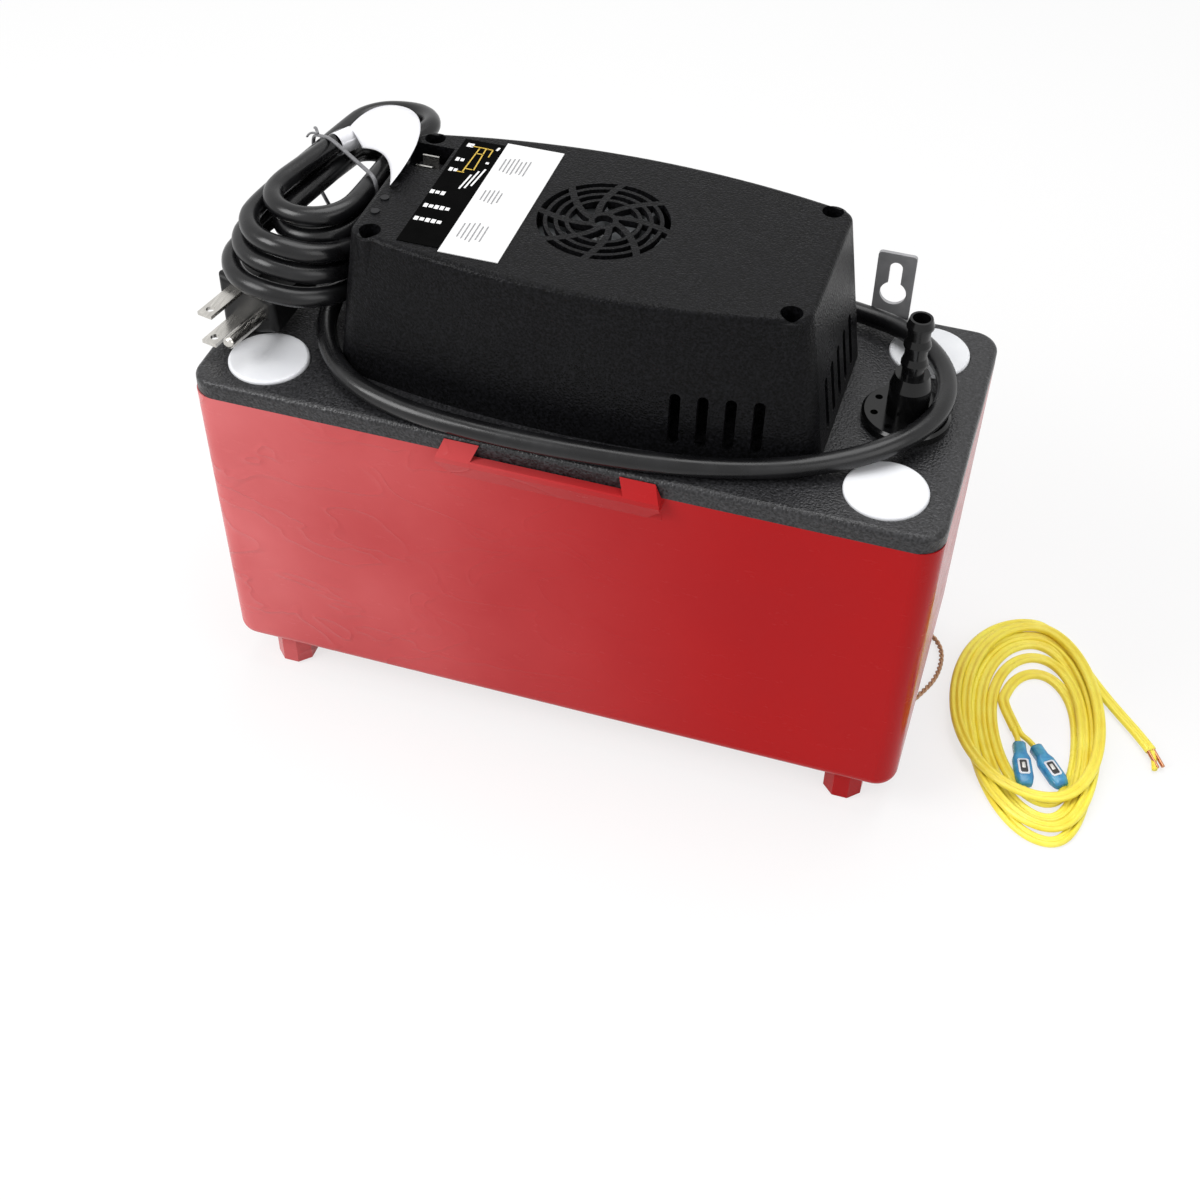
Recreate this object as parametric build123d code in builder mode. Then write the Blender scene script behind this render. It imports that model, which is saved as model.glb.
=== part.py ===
from build123d import *
import os
from math import asin, atan, cos, degrees, log, pi, radians, sin, sqrt

# Condensate pump: an open tank, a deck that lifts off it and carries the motor, the pump,
# the float switch and the check valve, a mains cord and a loose safety-switch lead.
# Millimetres. X runs along the tank, -Y is the front, +Z is up, and Z = 0 is the floor under
# the feet. The origin is below the middle of the tank.

# ---------------------------------------------------------------- driving dimensions
# Tank
tank_length = 282.0
tank_width = 123.0
tank_height = 128.0
tank_draft = 1.6            # each side, over the height
tank_wall = 2.5
tank_corner = 9.0
tank_bottom_round = 5.0
foot_height = 18.0
foot_radius = 8.2
foot_x = 119.0
foot_y = 46.0
lip_half_length = 42.0      # finger lip on the front wall
lip_ear = 9.5
lip_reach = 4.4
lip_drop = 13.0
lip_rise = 6.0

# Lid
lid_thickness = 7.2
lid_plate = 3.0
lid_corner = 10.0
lid_round = 2.2
lid_wall = 3.0
nest_depth = 6.0            # skirt that drops inside the tank
nest_clearance = 0.4
inlet_x = 116.8
inlet_y = 41.2
inlet_bore = 28.6
plug_radius = 15.2
plug_crown = 1.2
plug_clearance = 0.3
plug_seat_depth = 1.0
fit_gap = 0.3               # between a fixed piece and what it lies against or passes through
plug_skirt_depth = 8.0
plug_wall = 2.0

# Motor cover
cover_height = 59.8
cover_top_half_length = 83.0
cover_top_end_half_width = 34.0
cover_top_bulge = 45.0
cover_flare_x = 8.5         # each end leans out this much from top to bottom
cover_flare_y = 3.0
cover_corner = 6.0
cover_wall = 2.5
cover_edge_round = 2.4
cover_screw_x = 75.6
cover_screw_y = 31.7
post_radius = 5.4
screw_head_radius = 3.6
screw_shank_radius = 2.0
screw_recess = 12.0

# Vent grille in the cover's top
vent_spokes = 8
vent_slot_width = 2.4
vent_ring_pitch = 3.8
vent_outer_radius = 23.8
vent_rings = 3
vent_spoke_width = 2.6
vent_eye_radius = 3.3
vent_petal_root = 5.3
vent_start = 1.0            # degrees, a spoke at the outer edge
vent_twist = 25.0           # degrees that a spoke winds on as the radius falls by a factor e

# Side louvres
louvre_width = 3.9
louvre_height = 22.0
louvre_pitch = 9.7
front_louvre_x = 54.9
louvre_sill = 4.0

# Terminal pocket and indicator lights
pocket_length = 17.0
pocket_width = 15.5
pocket_depth = 9.0
pocket_y = 19.3
pocket_wall = 1.8
tab_width = 6.35
tab_thickness = 0.8
tab_height = 7.0
light_x = -78.2
light_from_board = 15.4
light_y = -11.6
light_pitch = 9.0
light_radius = 1.6
label_thickness = 0.3

# Motor
shaft_radius = 3.0
shaft_clearance = 0.05
motor_seat = 7.0            # posts on the lid that carry the motor
stack_length = 62.0
stack_width = 54.0
stack_height = 22.0
rotor_radius = 16.0
air_gap = 0.5
bearing_radius = 7.0
bearing_width = 6.0
bracket_thickness = 2.5
bracket_gap = 5.0           # end turns between the stack and a bracket
fan_radius = 27.0
fan_height = 7.0
fan_blades = 7

# Pump end
volute_radius = 27.0
volute_height = 20.0
volute_wall = 2.5
strainer_height = 9.0
strainer_clearance = 0.6    # above the tank's floor
impeller_radius = 19.0
impeller_height = 9.0
impeller_blades = 6
eye_radius = 7.0
column_radius = 11.0
column_bore = 8.0
riser_radius = 7.0
riser_bore = 4.8
valve_x = 115.5

# Check valve
valve_flange_radius = 16.2
valve_flange_height = 3.8
valve_body_radius = 7.6
valve_neck_radius = 6.2
valve_body_height = 17.0
barb_radius = 4.9
barb_bore = 3.2
barb_height = 24.0
barb_count = 3
barb_step = 0.8
barb_land = 1.0
ball_radius = 4.6
ball_clearance = 0.8
ball_seat = 3.4
ball_lift = 4.0

# Float and switches
float_x = -68.0
float_length = 42.0
float_width = 58.0
float_height = 24.0
float_base = 62.0
float_travel = 8.0
rod_radius = 2.0
guide_clearance = 0.35
lever_pivot_x = -46.0
lever_rise = 16.8           # pivot above the deck
lever_thickness = 2.0
lever_width = 24.0
lever_overhang = 6.0
pin_radius = 1.5
switch_length = 19.8
switch_width = 6.4
switch_height = 10.0
switch_offset_y = 6.5
plunger_radius = 1.2
plunger_from_pivot = 4.5
plunger_gap = 0.3

# Wall brackets
bracket_x = 97.5
bracket_width = 14.8
bracket_steel = 1.6
bracket_rise = 26.6         # above the lid's top
bracket_drop = 42.0         # below the tank's rim
keyhole_radius = 5.1
keyhole_slot = 4.9
keyhole_below_top = 17.6
keyhole_rise = 11.4

bracket_screw_radius = 1.5
bracket_screw_grip = 4.0

# Fastenings and labels
boss_depth = 10.0           # bosses below the lid's plate
bolt_radius = 1.6
control_label_x = -56.6
control_label_length = 16.0
control_label_width = 69.0
rating_label_length = 22.0
rating_label_width = 73.0

# Cord gland in the cover's rear wall
gland_x = -3.0
gland_z = 160.0
gland_neck = 4.9
gland_sleeve = 28.0
gland_cord_y = 54.5

# Mains cord and plug
cord_radius = 3.8
plug_face = Vector(-134.3, -29.2, 165.4)
plug_turn = 12.2            # degrees, blades aim forward and a little left
plug_body_length = 33.0
plug_half_height = 11.6
blade_spacing = 12.7
blade_length = 17.6
blade_width = 6.3
blade_thickness = 1.5
blade_hole_radius = 1.6
pin_offset = 11.9
ground_radius = 2.4
ground_length = 21.0

plug_cord_offset = 4.0      # the cord leaves the body between the blades and the ground pin
plug_relief = 24.0

# Hank, its tie and its tag
hank_x = -115.0
hank_y = 17.5
hank_length = 53.0
hank_width = 113.0
hank_height = 22.6
hank_hole_x = -104.5
hank_hole_y = 16.0
hank_hole_length = 15.0
hank_hole_width = 62.0
tag_x = -101.0
tag_y = 42.0
tag_length = 25.0
tag_width = 34.0

# Safety-switch lead, flat on the floor
lead_width = 4.8
lead_axis_z = 2.5
coil_x = 186.3
coil_y = 8.5
coil_long = 61.5
coil_short = 31.8
coil_turn = 101.5
coil_hole_x = 191.6
coil_hole_y = 1.5
coil_hole_long = 34.6
coil_hole_short = 18.6
coil_hole_turn = 93.0
coil_height = 8.0
core_radius = 1.2
fork_point = (180.9, 2.8)   # where the two cores part
connector_barrel = 8.0
connector_barrel_width = 5.4
connector_length = 22.0
connector_width = 7.6
connector_height = 4.6

# Heights worked out from the sizes above
rim_z = foot_height + tank_height
deck_z = rim_z + lid_thickness
under_z = deck_z - lid_plate
top_z = deck_z + cover_height
floor_z = foot_height + tank_wall

os.makedirs("parts", exist_ok=True)


def bowed_outline(half_length, end_half_width, bulge, corner):
    """Closed outline: straight ends, and long sides that bow out to the bulge."""
    with BuildSketch(mode=Mode.PRIVATE) as outline:
        with BuildLine():
            ThreePointArc((-half_length, -end_half_width), (0, -bulge), (half_length, -end_half_width))
            Line((half_length, -end_half_width), (half_length, end_half_width))
            ThreePointArc((half_length, end_half_width), (0, bulge), (-half_length, end_half_width))
            Line((-half_length, end_half_width), (-half_length, -end_half_width))
        make_face()
        fillet(outline.vertices(), corner)
    return outline.sketch


def cover_flare(z):
    """How far the cover's walls have leaned out at height z, from 0 at its top to 1 at the deck."""
    return (top_z - z) / cover_height


def cover_section(z, inset=0.0):
    """The cover's outline at height z, drawn in by inset."""
    lean = cover_flare(z)
    return bowed_outline(
        cover_top_half_length + cover_flare_x * lean - inset,
        cover_top_end_half_width + cover_flare_y * lean - inset,
        cover_top_bulge + cover_flare_y * lean - inset,
        cover_corner + 3.0 * lean - inset / 2,
    )


def tank_section(z, inset=0.0):
    """Length, width and corner radius of the tank at height z, drawn in by inset."""
    draft = tank_draft * (rim_z - z) / tank_height
    return (
        tank_length - 2 * (draft + inset),
        tank_width - 2 * (draft + inset),
        tank_corner - inset,
    )


# ================================================================ tank
with BuildPart() as tank:
    for z in (foot_height, rim_z):
        with BuildSketch(Plane.XY.offset(z)):
            RectangleRounded(*tank_section(z))
    loft()
    fillet(tank.faces().sort_by(Axis.Z)[0].edges(), tank_bottom_round)
    for z in (floor_z, rim_z):
        with BuildSketch(Plane.XY.offset(z)):
            RectangleRounded(*tank_section(z, tank_wall))
    loft(mode=Mode.SUBTRACT)
    # feet: octagonal pegs with a small chamfer where they meet the floor
    foot_root = foot_height + tank_wall / 2
    with BuildSketch():
        with GridLocations(2 * foot_x, 2 * foot_y, 2, 2):
            RegularPolygon(foot_radius, 8, rotation=22.5)
    extrude(amount=foot_root)
    chamfer(tank.faces().sort_by(Axis.Z)[0:4].edges(), 1.0)
    # finger lip: a wedge that starts just under the rim, with two ears that reach up past the lid
    lip_front = tank_width / 2 + lip_reach
    lip_root = tank_width / 2 - tank_wall / 2
    with BuildSketch(Plane.YZ.offset(-lip_half_length)):
        Polygon(
            (-lip_root, rim_z - lip_drop),
            (-lip_root, rim_z),
            (-tank_width / 2 - nest_clearance, rim_z),
            (-tank_width / 2 - nest_clearance, rim_z + lip_rise),
            (-lip_front, rim_z),
            (-lip_front, rim_z - 2.0),
            align=None,
        )
    extrude(amount=2 * lip_half_length)
    with BuildSketch(Plane.XZ.offset(tank_width / 2 + nest_clearance)):
        ear_in = lip_half_length - lip_ear
        Polygon(
            (-ear_in + 4, rim_z + 0.6),
            (ear_in - 4, rim_z + 0.6),
            (ear_in - 9, rim_z + 2 * lip_rise),
            (-ear_in + 9, rim_z + 2 * lip_rise),
            align=None,
        )
    extrude(amount=2 * lip_reach, mode=Mode.SUBTRACT)
    for side in (-1, 1):
        with BuildSketch(Plane.XZ.offset(tank_width / 2)):
            Polygon(
                (side * (lip_half_length + 1), rim_z + 2 * lip_rise),
                (side * (lip_half_length - 5), rim_z + 2 * lip_rise),
                (side * (lip_half_length + 1), rim_z - 3),
                align=None,
            )
            Polygon(
                (side * (lip_half_length + 1), rim_z - 3),
                (side * (lip_half_length - 8), rim_z - lip_drop - 1),
                (side * (lip_half_length + 1), rim_z - lip_drop - 1),
                align=None,
            )
        extrude(amount=2 * lip_reach, mode=Mode.SUBTRACT)
    # two bosses on each side of the rear wall take the bracket screws
    boss_z = rim_z - bracket_drop / 2
    with BuildSketch(Plane.XZ.offset(-tank_width / 2 + tank_wall + 4)):
        with GridLocations(2 * bracket_x, bracket_drop / 2, 2, 2):
            with Locations((0, boss_z)):
                Circle(4.0)
    extrude(amount=-(tank_wall + 3))
    with BuildSketch(Plane.XZ.offset(-tank_width / 2)):
        with GridLocations(2 * bracket_x, bracket_drop / 2, 2, 2):
            with Locations((0, boss_z)):
                Circle(1.5)
    extrude(amount=tank_wall + 2, mode=Mode.SUBTRACT)
tank.part.label = "tank"
export_step(tank.part, "parts/tank.step")

# ================================================================ wall brackets and their screws
bracket_y = tank_width / 2 + fit_gap
bracket_top = deck_z + bracket_rise
bracket_foot = rim_z - bracket_drop
with BuildPart() as wall_brackets:
    with BuildSketch(Plane.XZ.offset(-bracket_y)):
        with Locations((-bracket_x, 0), (bracket_x, 0)):
            with Locations((0, (bracket_top + bracket_foot) / 2)):
                RectangleRounded(bracket_width, bracket_top - bracket_foot, 1.5)
            with Locations((0, bracket_top - keyhole_below_top)):
                Circle(keyhole_radius, mode=Mode.SUBTRACT)
            with Locations((0, bracket_top - keyhole_below_top + keyhole_rise / 2)):
                SlotOverall(
                    keyhole_rise + keyhole_slot, keyhole_slot, rotation=90, mode=Mode.SUBTRACT
                )
        with GridLocations(2 * bracket_x, bracket_drop / 2, 2, 2):
            with Locations((0, boss_z)):
                Circle(bracket_screw_radius + fit_gap, mode=Mode.SUBTRACT)
    extrude(amount=-bracket_steel)
wall_brackets.part.label = "wall_brackets"
export_step(wall_brackets.part, "parts/wall_brackets.step")

with BuildPart() as bracket_screws:
    with BuildSketch(Plane.XZ.offset(-tank_width / 2 + bracket_screw_grip)):
        with GridLocations(2 * bracket_x, bracket_drop / 2, 2, 2):
            with Locations((0, boss_z)):
                Circle(bracket_screw_radius)
    extrude(amount=-(bracket_screw_grip + fit_gap + bracket_steel))
    with BuildSketch(Plane.XZ.offset(-bracket_y - bracket_steel)):
        with GridLocations(2 * bracket_x, bracket_drop / 2, 2, 2):
            with Locations((0, boss_z)):
                Circle(2 * bracket_screw_radius)
    extrude(amount=-(lip_reach - fit_gap - bracket_steel))
bracket_screws.part.label = "bracket_screws"
export_step(bracket_screws.part, "parts/bracket_screws.step")

# ================================================================ lid
motor_posts = [(sx * (stack_length / 2 - 5), sy * (stack_width / 2 - 6)) for sx in (-1, 1) for sy in (-1, 1)]
cover_screws_at = [(sx * cover_screw_x, sy * cover_screw_y) for sx in (-1, 1) for sy in (-1, 1)]
with BuildPart() as lid:
    with BuildSketch(Plane.XY.offset(rim_z)):
        RectangleRounded(tank_length, tank_width, lid_corner)
    extrude(amount=lid_thickness)
    fillet(lid.faces().sort_by(Axis.Z)[-1].edges(), lid_round)
    with BuildSketch(Plane.XY.offset(rim_z)):
        RectangleRounded(tank_length - 2 * lid_wall, tank_width - 2 * lid_wall, lid_corner - lid_wall)
    extrude(amount=lid_thickness - lid_plate, mode=Mode.SUBTRACT)
    # skirt that nests in the tank's mouth
    with BuildSketch(Plane.XY.offset(rim_z - nest_depth)):
        RectangleRounded(*tank_section(rim_z, tank_wall + nest_clearance))
        RectangleRounded(*tank_section(rim_z, tank_wall + nest_clearance + 2.0), mode=Mode.SUBTRACT)
    extrude(amount=nest_depth + lid_thickness - lid_plate)
    # collars round the four drain inlets
    with BuildSketch(Plane.XY.offset(under_z - plug_skirt_depth - 1)):
        with GridLocations(2 * inlet_x, 2 * inlet_y, 2, 2):
            Circle(inlet_bore / 2 + 2.0)
    extrude(amount=plug_skirt_depth + 1)
    # bosses: cover screws, float rod guide, riser socket, column seat
    with BuildSketch(Plane.XY.offset(under_z - boss_depth)):
        with Locations(*cover_screws_at):
            Circle(4.5)
        with Locations((float_x, 0)):
            Circle(rod_radius + 3.0)
        with Locations((valve_x, 0)):
            Circle(riser_radius + 2.6)
        Circle(column_radius + 3.0)
    extrude(amount=boss_depth)
    # posts on top carry the motor
    with BuildSketch(Plane.XY.offset(deck_z - lid_plate / 2)):
        with Locations(*motor_posts):
            Circle(4.0)
    extrude(amount=motor_seat + lid_plate / 2)
    # bores
    with BuildSketch(Plane.XY.offset(under_z - 2 * boss_depth)):
        with GridLocations(2 * inlet_x, 2 * inlet_y, 2, 2):
            Circle(inlet_bore / 2)
        with Locations((float_x, 0)):
            Circle(rod_radius + guide_clearance)
        with Locations((valve_x, 0)):
            Circle(ball_seat)
        Circle(shaft_radius + 1.5)
    extrude(amount=3 * boss_depth, mode=Mode.SUBTRACT)
    with BuildSketch(Plane.XY.offset(under_z - boss_depth)):
        with Locations((valve_x, 0)):
            Circle(riser_radius + 0.05)
        Circle(column_radius + 0.05)
    extrude(amount=boss_depth, mode=Mode.SUBTRACT)
    with BuildSketch(Plane.XY.offset(deck_z - plug_seat_depth)):
        with GridLocations(2 * inlet_x, 2 * inlet_y, 2, 2):
            Circle(plug_radius + plug_clearance)
    extrude(amount=plug_seat_depth, mode=Mode.SUBTRACT)
    with BuildSketch(Plane.XY.offset(under_z - boss_depth)):
        with Locations(*cover_screws_at):
            Circle(screw_shank_radius)
    extrude(amount=2 * boss_depth, mode=Mode.SUBTRACT)
    with BuildSketch(Plane.XY.offset(deck_z + motor_seat)):
        with Locations(*motor_posts):
            Circle(bolt_radius)
    extrude(amount=-motor_seat, mode=Mode.SUBTRACT)
lid.part.label = "lid"
export_step(lid.part, "parts/lid.step")


# snap-in plugs close the four drain inlets
skirt_radius = inlet_bore / 2 - plug_clearance
with BuildPart() as inlet_plugs:
    with BuildSketch(Plane.XY.offset(deck_z - plug_seat_depth)):
        with GridLocations(2 * inlet_x, 2 * inlet_y, 2, 2):
            Circle(plug_radius)
    extrude(amount=plug_seat_depth + plug_crown)
    fillet(inlet_plugs.edges().group_by(Axis.Z)[-1], 0.9 * plug_crown)
    with BuildSketch(Plane.XY.offset(deck_z - plug_seat_depth)):
        with GridLocations(2 * inlet_x, 2 * inlet_y, 2, 2):
            Circle(skirt_radius)
            Circle(skirt_radius - plug_wall, mode=Mode.SUBTRACT)
    extrude(amount=-plug_skirt_depth)
inlet_plugs.part.label = "inlet_plugs"
export_step(inlet_plugs.part, "parts/inlet_plugs.step")

# ================================================================ motor cover
inner_top = top_z - cover_wall
pocket_floor = top_z - pocket_depth
pocket_end = -cover_top_half_length + pocket_length
lights_at = [(light_x, light_y + step * light_pitch) for step in (-1, 0, 1)]
board_z = top_z - light_from_board
board_posts = [(light_x + 9.0, light_y + side * 11.0) for side in (-1, 1)]


def spoke_angle(radius):
    """Where a spoke's centre line crosses a circle: it winds on as the circle gets smaller."""
    return vent_start + vent_twist * log(vent_outer_radius / radius)


def petal_corner(radius, side):
    """Edge of an opening between two spokes: side 0 is along the first spoke, 1 along the next."""
    half = degrees(asin(vent_spoke_width / 2 / radius))
    free = 360 / vent_spokes - 2 * half
    return Vector(radius, 0).rotate(Axis.Z, spoke_angle(radius) + half + side * free)


# vent grille: rings of arc slots, then petals, then a round eye, parted by spiral spokes
spoke_lean = degrees(atan(radians(vent_twist)))
petal_rim = vent_outer_radius - vent_rings * vent_ring_pitch
petal_waist = (petal_rim + vent_petal_root) / 2
with BuildSketch() as vent_grille:
    Circle(vent_eye_radius)
    for ring in range(vent_rings):
        outer = vent_outer_radius - ring * vent_ring_pitch
        middle = outer - vent_slot_width / 2
        with BuildSketch(mode=Mode.PRIVATE) as ring_slots:
            Circle(outer)
            Circle(outer - vent_slot_width, mode=Mode.SUBTRACT)
            with PolarLocations(middle, vent_spokes, start_angle=spoke_angle(middle)):
                Rectangle(2 * vent_slot_width, vent_spoke_width, rotation=-spoke_lean, mode=Mode.SUBTRACT)
        add(ring_slots.sketch)
    with BuildSketch(mode=Mode.PRIVATE) as petal:
        with BuildLine():
            ThreePointArc(petal_corner(petal_rim, 0), petal_corner(petal_rim, 0.5), petal_corner(petal_rim, 1))
            ThreePointArc(petal_corner(petal_rim, 1), petal_corner(petal_waist, 1), petal_corner(vent_petal_root, 1))
            Line(petal_corner(vent_petal_root, 1), petal_corner(vent_petal_root, 0))
            ThreePointArc(petal_corner(vent_petal_root, 0), petal_corner(petal_waist, 0), petal_corner(petal_rim, 0))
        make_face()
    with PolarLocations(0, vent_spokes):
        add(petal.sketch)

with BuildPart() as motor_cover:
    for z in (deck_z, top_z):
        with BuildSketch(Plane.XY.offset(z)):
            add(cover_section(z))
    loft()
    fillet(motor_cover.faces().sort_by(Axis.Z)[-1].edges(), cover_edge_round)
    for z in (deck_z, inner_top):
        with BuildSketch(Plane.XY.offset(z)):
            add(cover_section(z, cover_wall))
    loft(mode=Mode.SUBTRACT)
    # screw posts, posts for the circuit board and the walls of the terminal pocket
    with BuildSketch(Plane.XY.offset(deck_z)):
        with Locations(*cover_screws_at):
            Circle(post_radius)
    extrude(amount=cover_height - cover_wall / 2)
    with BuildSketch(Plane.XY.offset(board_z)):
        with Locations(*board_posts):
            Circle(2.2)
    extrude(amount=top_z - board_z - cover_wall / 2)
    pocket_left = -cover_top_half_length + 1
    with BuildSketch(Plane.XY.offset(pocket_floor - pocket_wall)):
        with Locations(((pocket_left + pocket_end + pocket_wall) / 2, pocket_y)):
            Rectangle(pocket_end + pocket_wall - pocket_left, pocket_width + 2 * pocket_wall)
    extrude(amount=pocket_depth)
    with BuildSketch(Plane.XY.offset(pocket_floor)):
        with Locations((pocket_end - pocket_length, pocket_y)):
            Rectangle(2 * pocket_length, pocket_width)
    extrude(amount=2 * pocket_depth, mode=Mode.SUBTRACT)
    # screw bores with deep head recesses
    with BuildSketch(Plane.XY.offset(deck_z)):
        with Locations(*cover_screws_at):
            Circle(screw_shank_radius + fit_gap)
    extrude(amount=cover_height, mode=Mode.SUBTRACT)
    with BuildSketch(Plane.XY.offset(top_z - screw_recess)):
        with Locations(*cover_screws_at):
            Circle(screw_head_radius + fit_gap)
    extrude(amount=screw_recess, mode=Mode.SUBTRACT)
    with BuildSketch(Plane.XY.offset(inner_top - 1)):
        with Locations(*lights_at):
            Circle(light_radius + 0.1)
    extrude(amount=2 * cover_wall, mode=Mode.SUBTRACT)
    with BuildSketch(Plane.XY.offset(inner_top - 1)):
        add(vent_grille.sketch)
    extrude(amount=2 * cover_wall, mode=Mode.SUBTRACT)
    # louvres: four on the front, five on the right end
    louvre_z = deck_z + louvre_sill + louvre_height / 2
    with BuildSketch(Plane.XZ.offset(cover_top_end_half_width - 2)):
        with GridLocations(louvre_pitch, 1, 4, 1):
            with Locations((front_louvre_x, louvre_z)):
                SlotOverall(louvre_height, louvre_width, rotation=90)
    extrude(amount=cover_top_bulge, mode=Mode.SUBTRACT)
    with BuildSketch(Plane.YZ.offset(cover_top_half_length - 4)):
        with GridLocations(louvre_pitch, 1, 5, 1):
            with Locations((0, louvre_z)):
                SlotOverall(louvre_height, louvre_width, rotation=90)
    extrude(amount=4 * cover_flare_x, mode=Mode.SUBTRACT)
    # hole for the cord gland in the rear wall
    with BuildSketch(Plane.XZ.offset(-cover_top_end_half_width)):
        with Locations((gland_x, gland_z)):
            Circle(gland_neck + 0.1)
    extrude(amount=-cover_top_bulge, mode=Mode.SUBTRACT)
motor_cover.part.label = "motor_cover"
export_step(motor_cover.part, "parts/motor_cover.step")

with BuildPart() as cover_screws:
    with BuildSketch(Plane.XY.offset(under_z - boss_depth + 1)):
        with Locations(*cover_screws_at):
            Circle(screw_shank_radius)
    extrude(amount=cover_height + lid_plate + boss_depth - 1 - screw_recess)
    with BuildSketch(Plane.XY.offset(top_z - screw_recess)):
        with Locations(*cover_screws_at):
            Circle(screw_head_radius)
    extrude(amount=2.4)
cover_screws.part.label = "cover_screws"
export_step(cover_screws.part, "parts/cover_screws.step")

with BuildPart() as status_lights:
    with BuildSketch(Plane.XY.offset(board_z)):
        with Locations(*lights_at):
            Circle(light_radius)
    extrude(amount=light_from_board + 0.5)
status_lights.part.label = "status_lights"
export_step(status_lights.part, "parts/status_lights.step")

with BuildPart() as circuit_board:
    with BuildSketch(Plane.XY.offset(board_z)):
        with Locations((light_x + 4.5, light_y)):
            Rectangle(14.0, 27.0)
    extrude(amount=-1.6)
circuit_board.part.label = "circuit_board"
export_step(circuit_board.part, "parts/circuit_board.step")

with BuildPart() as control_label:
    with BuildSketch(Plane.XY.offset(top_z)):
        with Locations((control_label_x, 0)):
            Rectangle(control_label_length, control_label_width)
    extrude(amount=label_thickness)
control_label.part.label = "control_label"
export_step(control_label.part, "parts/control_label.step")

with BuildPart() as rating_label:
    with BuildSketch(Plane.XY.offset(top_z)):
        with Locations((control_label_x + (control_label_length + rating_label_length) / 2, 0)):
            Rectangle(rating_label_length, rating_label_width)
    extrude(amount=label_thickness)
rating_label.part.label = "rating_label"
export_step(rating_label.part, "parts/rating_label.step")

tabs_at = [(pocket_end - 8.0, pocket_y + side * 3.6) for side in (-1, 1)]
with BuildPart() as terminal_block:
    with BuildSketch(Plane.XY.offset(pocket_floor)):
        with Locations((pocket_end - 8.0, pocket_y)):
            RectangleRounded(11.0, 13.0, 1.0)
    extrude(amount=2.0)
    with BuildSketch(Plane.XY.offset(pocket_floor)):
        with Locations(*tabs_at):
            Rectangle(tab_width, tab_thickness)
    extrude(amount=2.0, mode=Mode.SUBTRACT)
terminal_block.part.label = "terminal_block"
export_step(terminal_block.part, "parts/terminal_block.step")

with BuildPart() as alarm_terminals:
    with BuildSketch(Plane.XY.offset(pocket_floor)):
        with Locations(*tabs_at):
            Rectangle(tab_width, tab_thickness)
    extrude(amount=tab_height)
alarm_terminals.part.label = "alarm_terminals"
export_step(alarm_terminals.part, "parts/alarm_terminals.step")

# ================================================================ motor
motor_z = deck_z + motor_seat
stack_z = motor_z + bracket_thickness + bracket_gap
stack_top = stack_z + stack_height
upper_z = stack_top + bracket_gap
motor_top = upper_z + bracket_thickness
fan_z = motor_top + 2.0
volute_z = floor_z + strainer_clearance + strainer_height
volute_top = volute_z + volute_height
impeller_z = volute_z + volute_wall + 1.0

with BuildPart() as stator_stack:
    with BuildSketch(Plane.XY.offset(stack_z)):
        RectangleRounded(stack_length, stack_width, 3.0)
        Circle(rotor_radius + air_gap, mode=Mode.SUBTRACT)
        with PolarLocations(rotor_radius + 4.5, 4, start_angle=45):
            Rectangle(7.0, 9.0, mode=Mode.SUBTRACT)
        with Locations(*motor_posts):
            Circle(bolt_radius + 0.2, mode=Mode.SUBTRACT)
    extrude(amount=stack_height)
stator_stack.part.label = "stator_stack"
export_step(stator_stack.part, "parts/stator_stack.step")

# end turns above and below the stack, joined through the four slots
with BuildPart() as stator_windings:
    for z in (stack_z - bracket_gap + 1.0, stack_top):
        with BuildSketch(Plane.XY.offset(z)):
            Circle(rotor_radius + 8.0)
            Circle(rotor_radius + 1.5, mode=Mode.SUBTRACT)
        extrude(amount=bracket_gap - 1.0)
    with BuildSketch(Plane.XY.offset(stack_z)):
        with PolarLocations(rotor_radius + 4.75, 4, start_angle=45):
            Rectangle(5.5, 8.0)
    extrude(amount=stack_height)
stator_windings.part.label = "stator_windings"
export_step(stator_windings.part, "parts/stator_windings.step")

# bearing brackets: a plate with four windows, legs down to the stack and a hub for the bearing
for name, plate_z, leg_z, hub_z in (
    ("lower_bearing_bracket", motor_z, motor_z + bracket_thickness, motor_z),
    ("upper_bearing_bracket", upper_z, upper_z - bracket_gap, motor_top - bearing_width),
):
    with BuildPart() as bearing_bracket:
        with BuildSketch(Plane.XY.offset(plate_z)):
            RectangleRounded(stack_length - 2, stack_width - 4, 4.0)
            with GridLocations(stack_length - 34, stack_width - 26, 2, 2):
                Circle(4.0, mode=Mode.SUBTRACT)
        extrude(amount=bracket_thickness)
        with BuildSketch(Plane.XY.offset(leg_z)):
            with Locations(*motor_posts):
                Circle(3.4)
        extrude(amount=bracket_gap)
        with BuildSketch(Plane.XY.offset(hub_z)):
            Circle(bearing_radius + 2.0)
        extrude(amount=bearing_width)
        with BuildSketch(Plane.XY.offset(hub_z)):
            Circle(bearing_radius)
        extrude(amount=bearing_width, mode=Mode.SUBTRACT)
        with BuildSketch(Plane.XY.offset(plate_z - 2 * bracket_gap)):
            with Locations(*motor_posts):
                Circle(bolt_radius + 0.2)
        extrude(amount=4 * bracket_gap, mode=Mode.SUBTRACT)
    bearing_bracket.part.label = name
    export_step(bearing_bracket.part, f"parts/{name}.step")

with BuildPart() as bearings:
    for z in (motor_z, motor_top - bearing_width):
        with BuildSketch(Plane.XY.offset(z)):
            Circle(bearing_radius)
            Circle(shaft_radius + shaft_clearance, mode=Mode.SUBTRACT)
        extrude(amount=bearing_width)
bearings.part.label = "bearings"
export_step(bearings.part, "parts/bearings.step")

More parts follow.
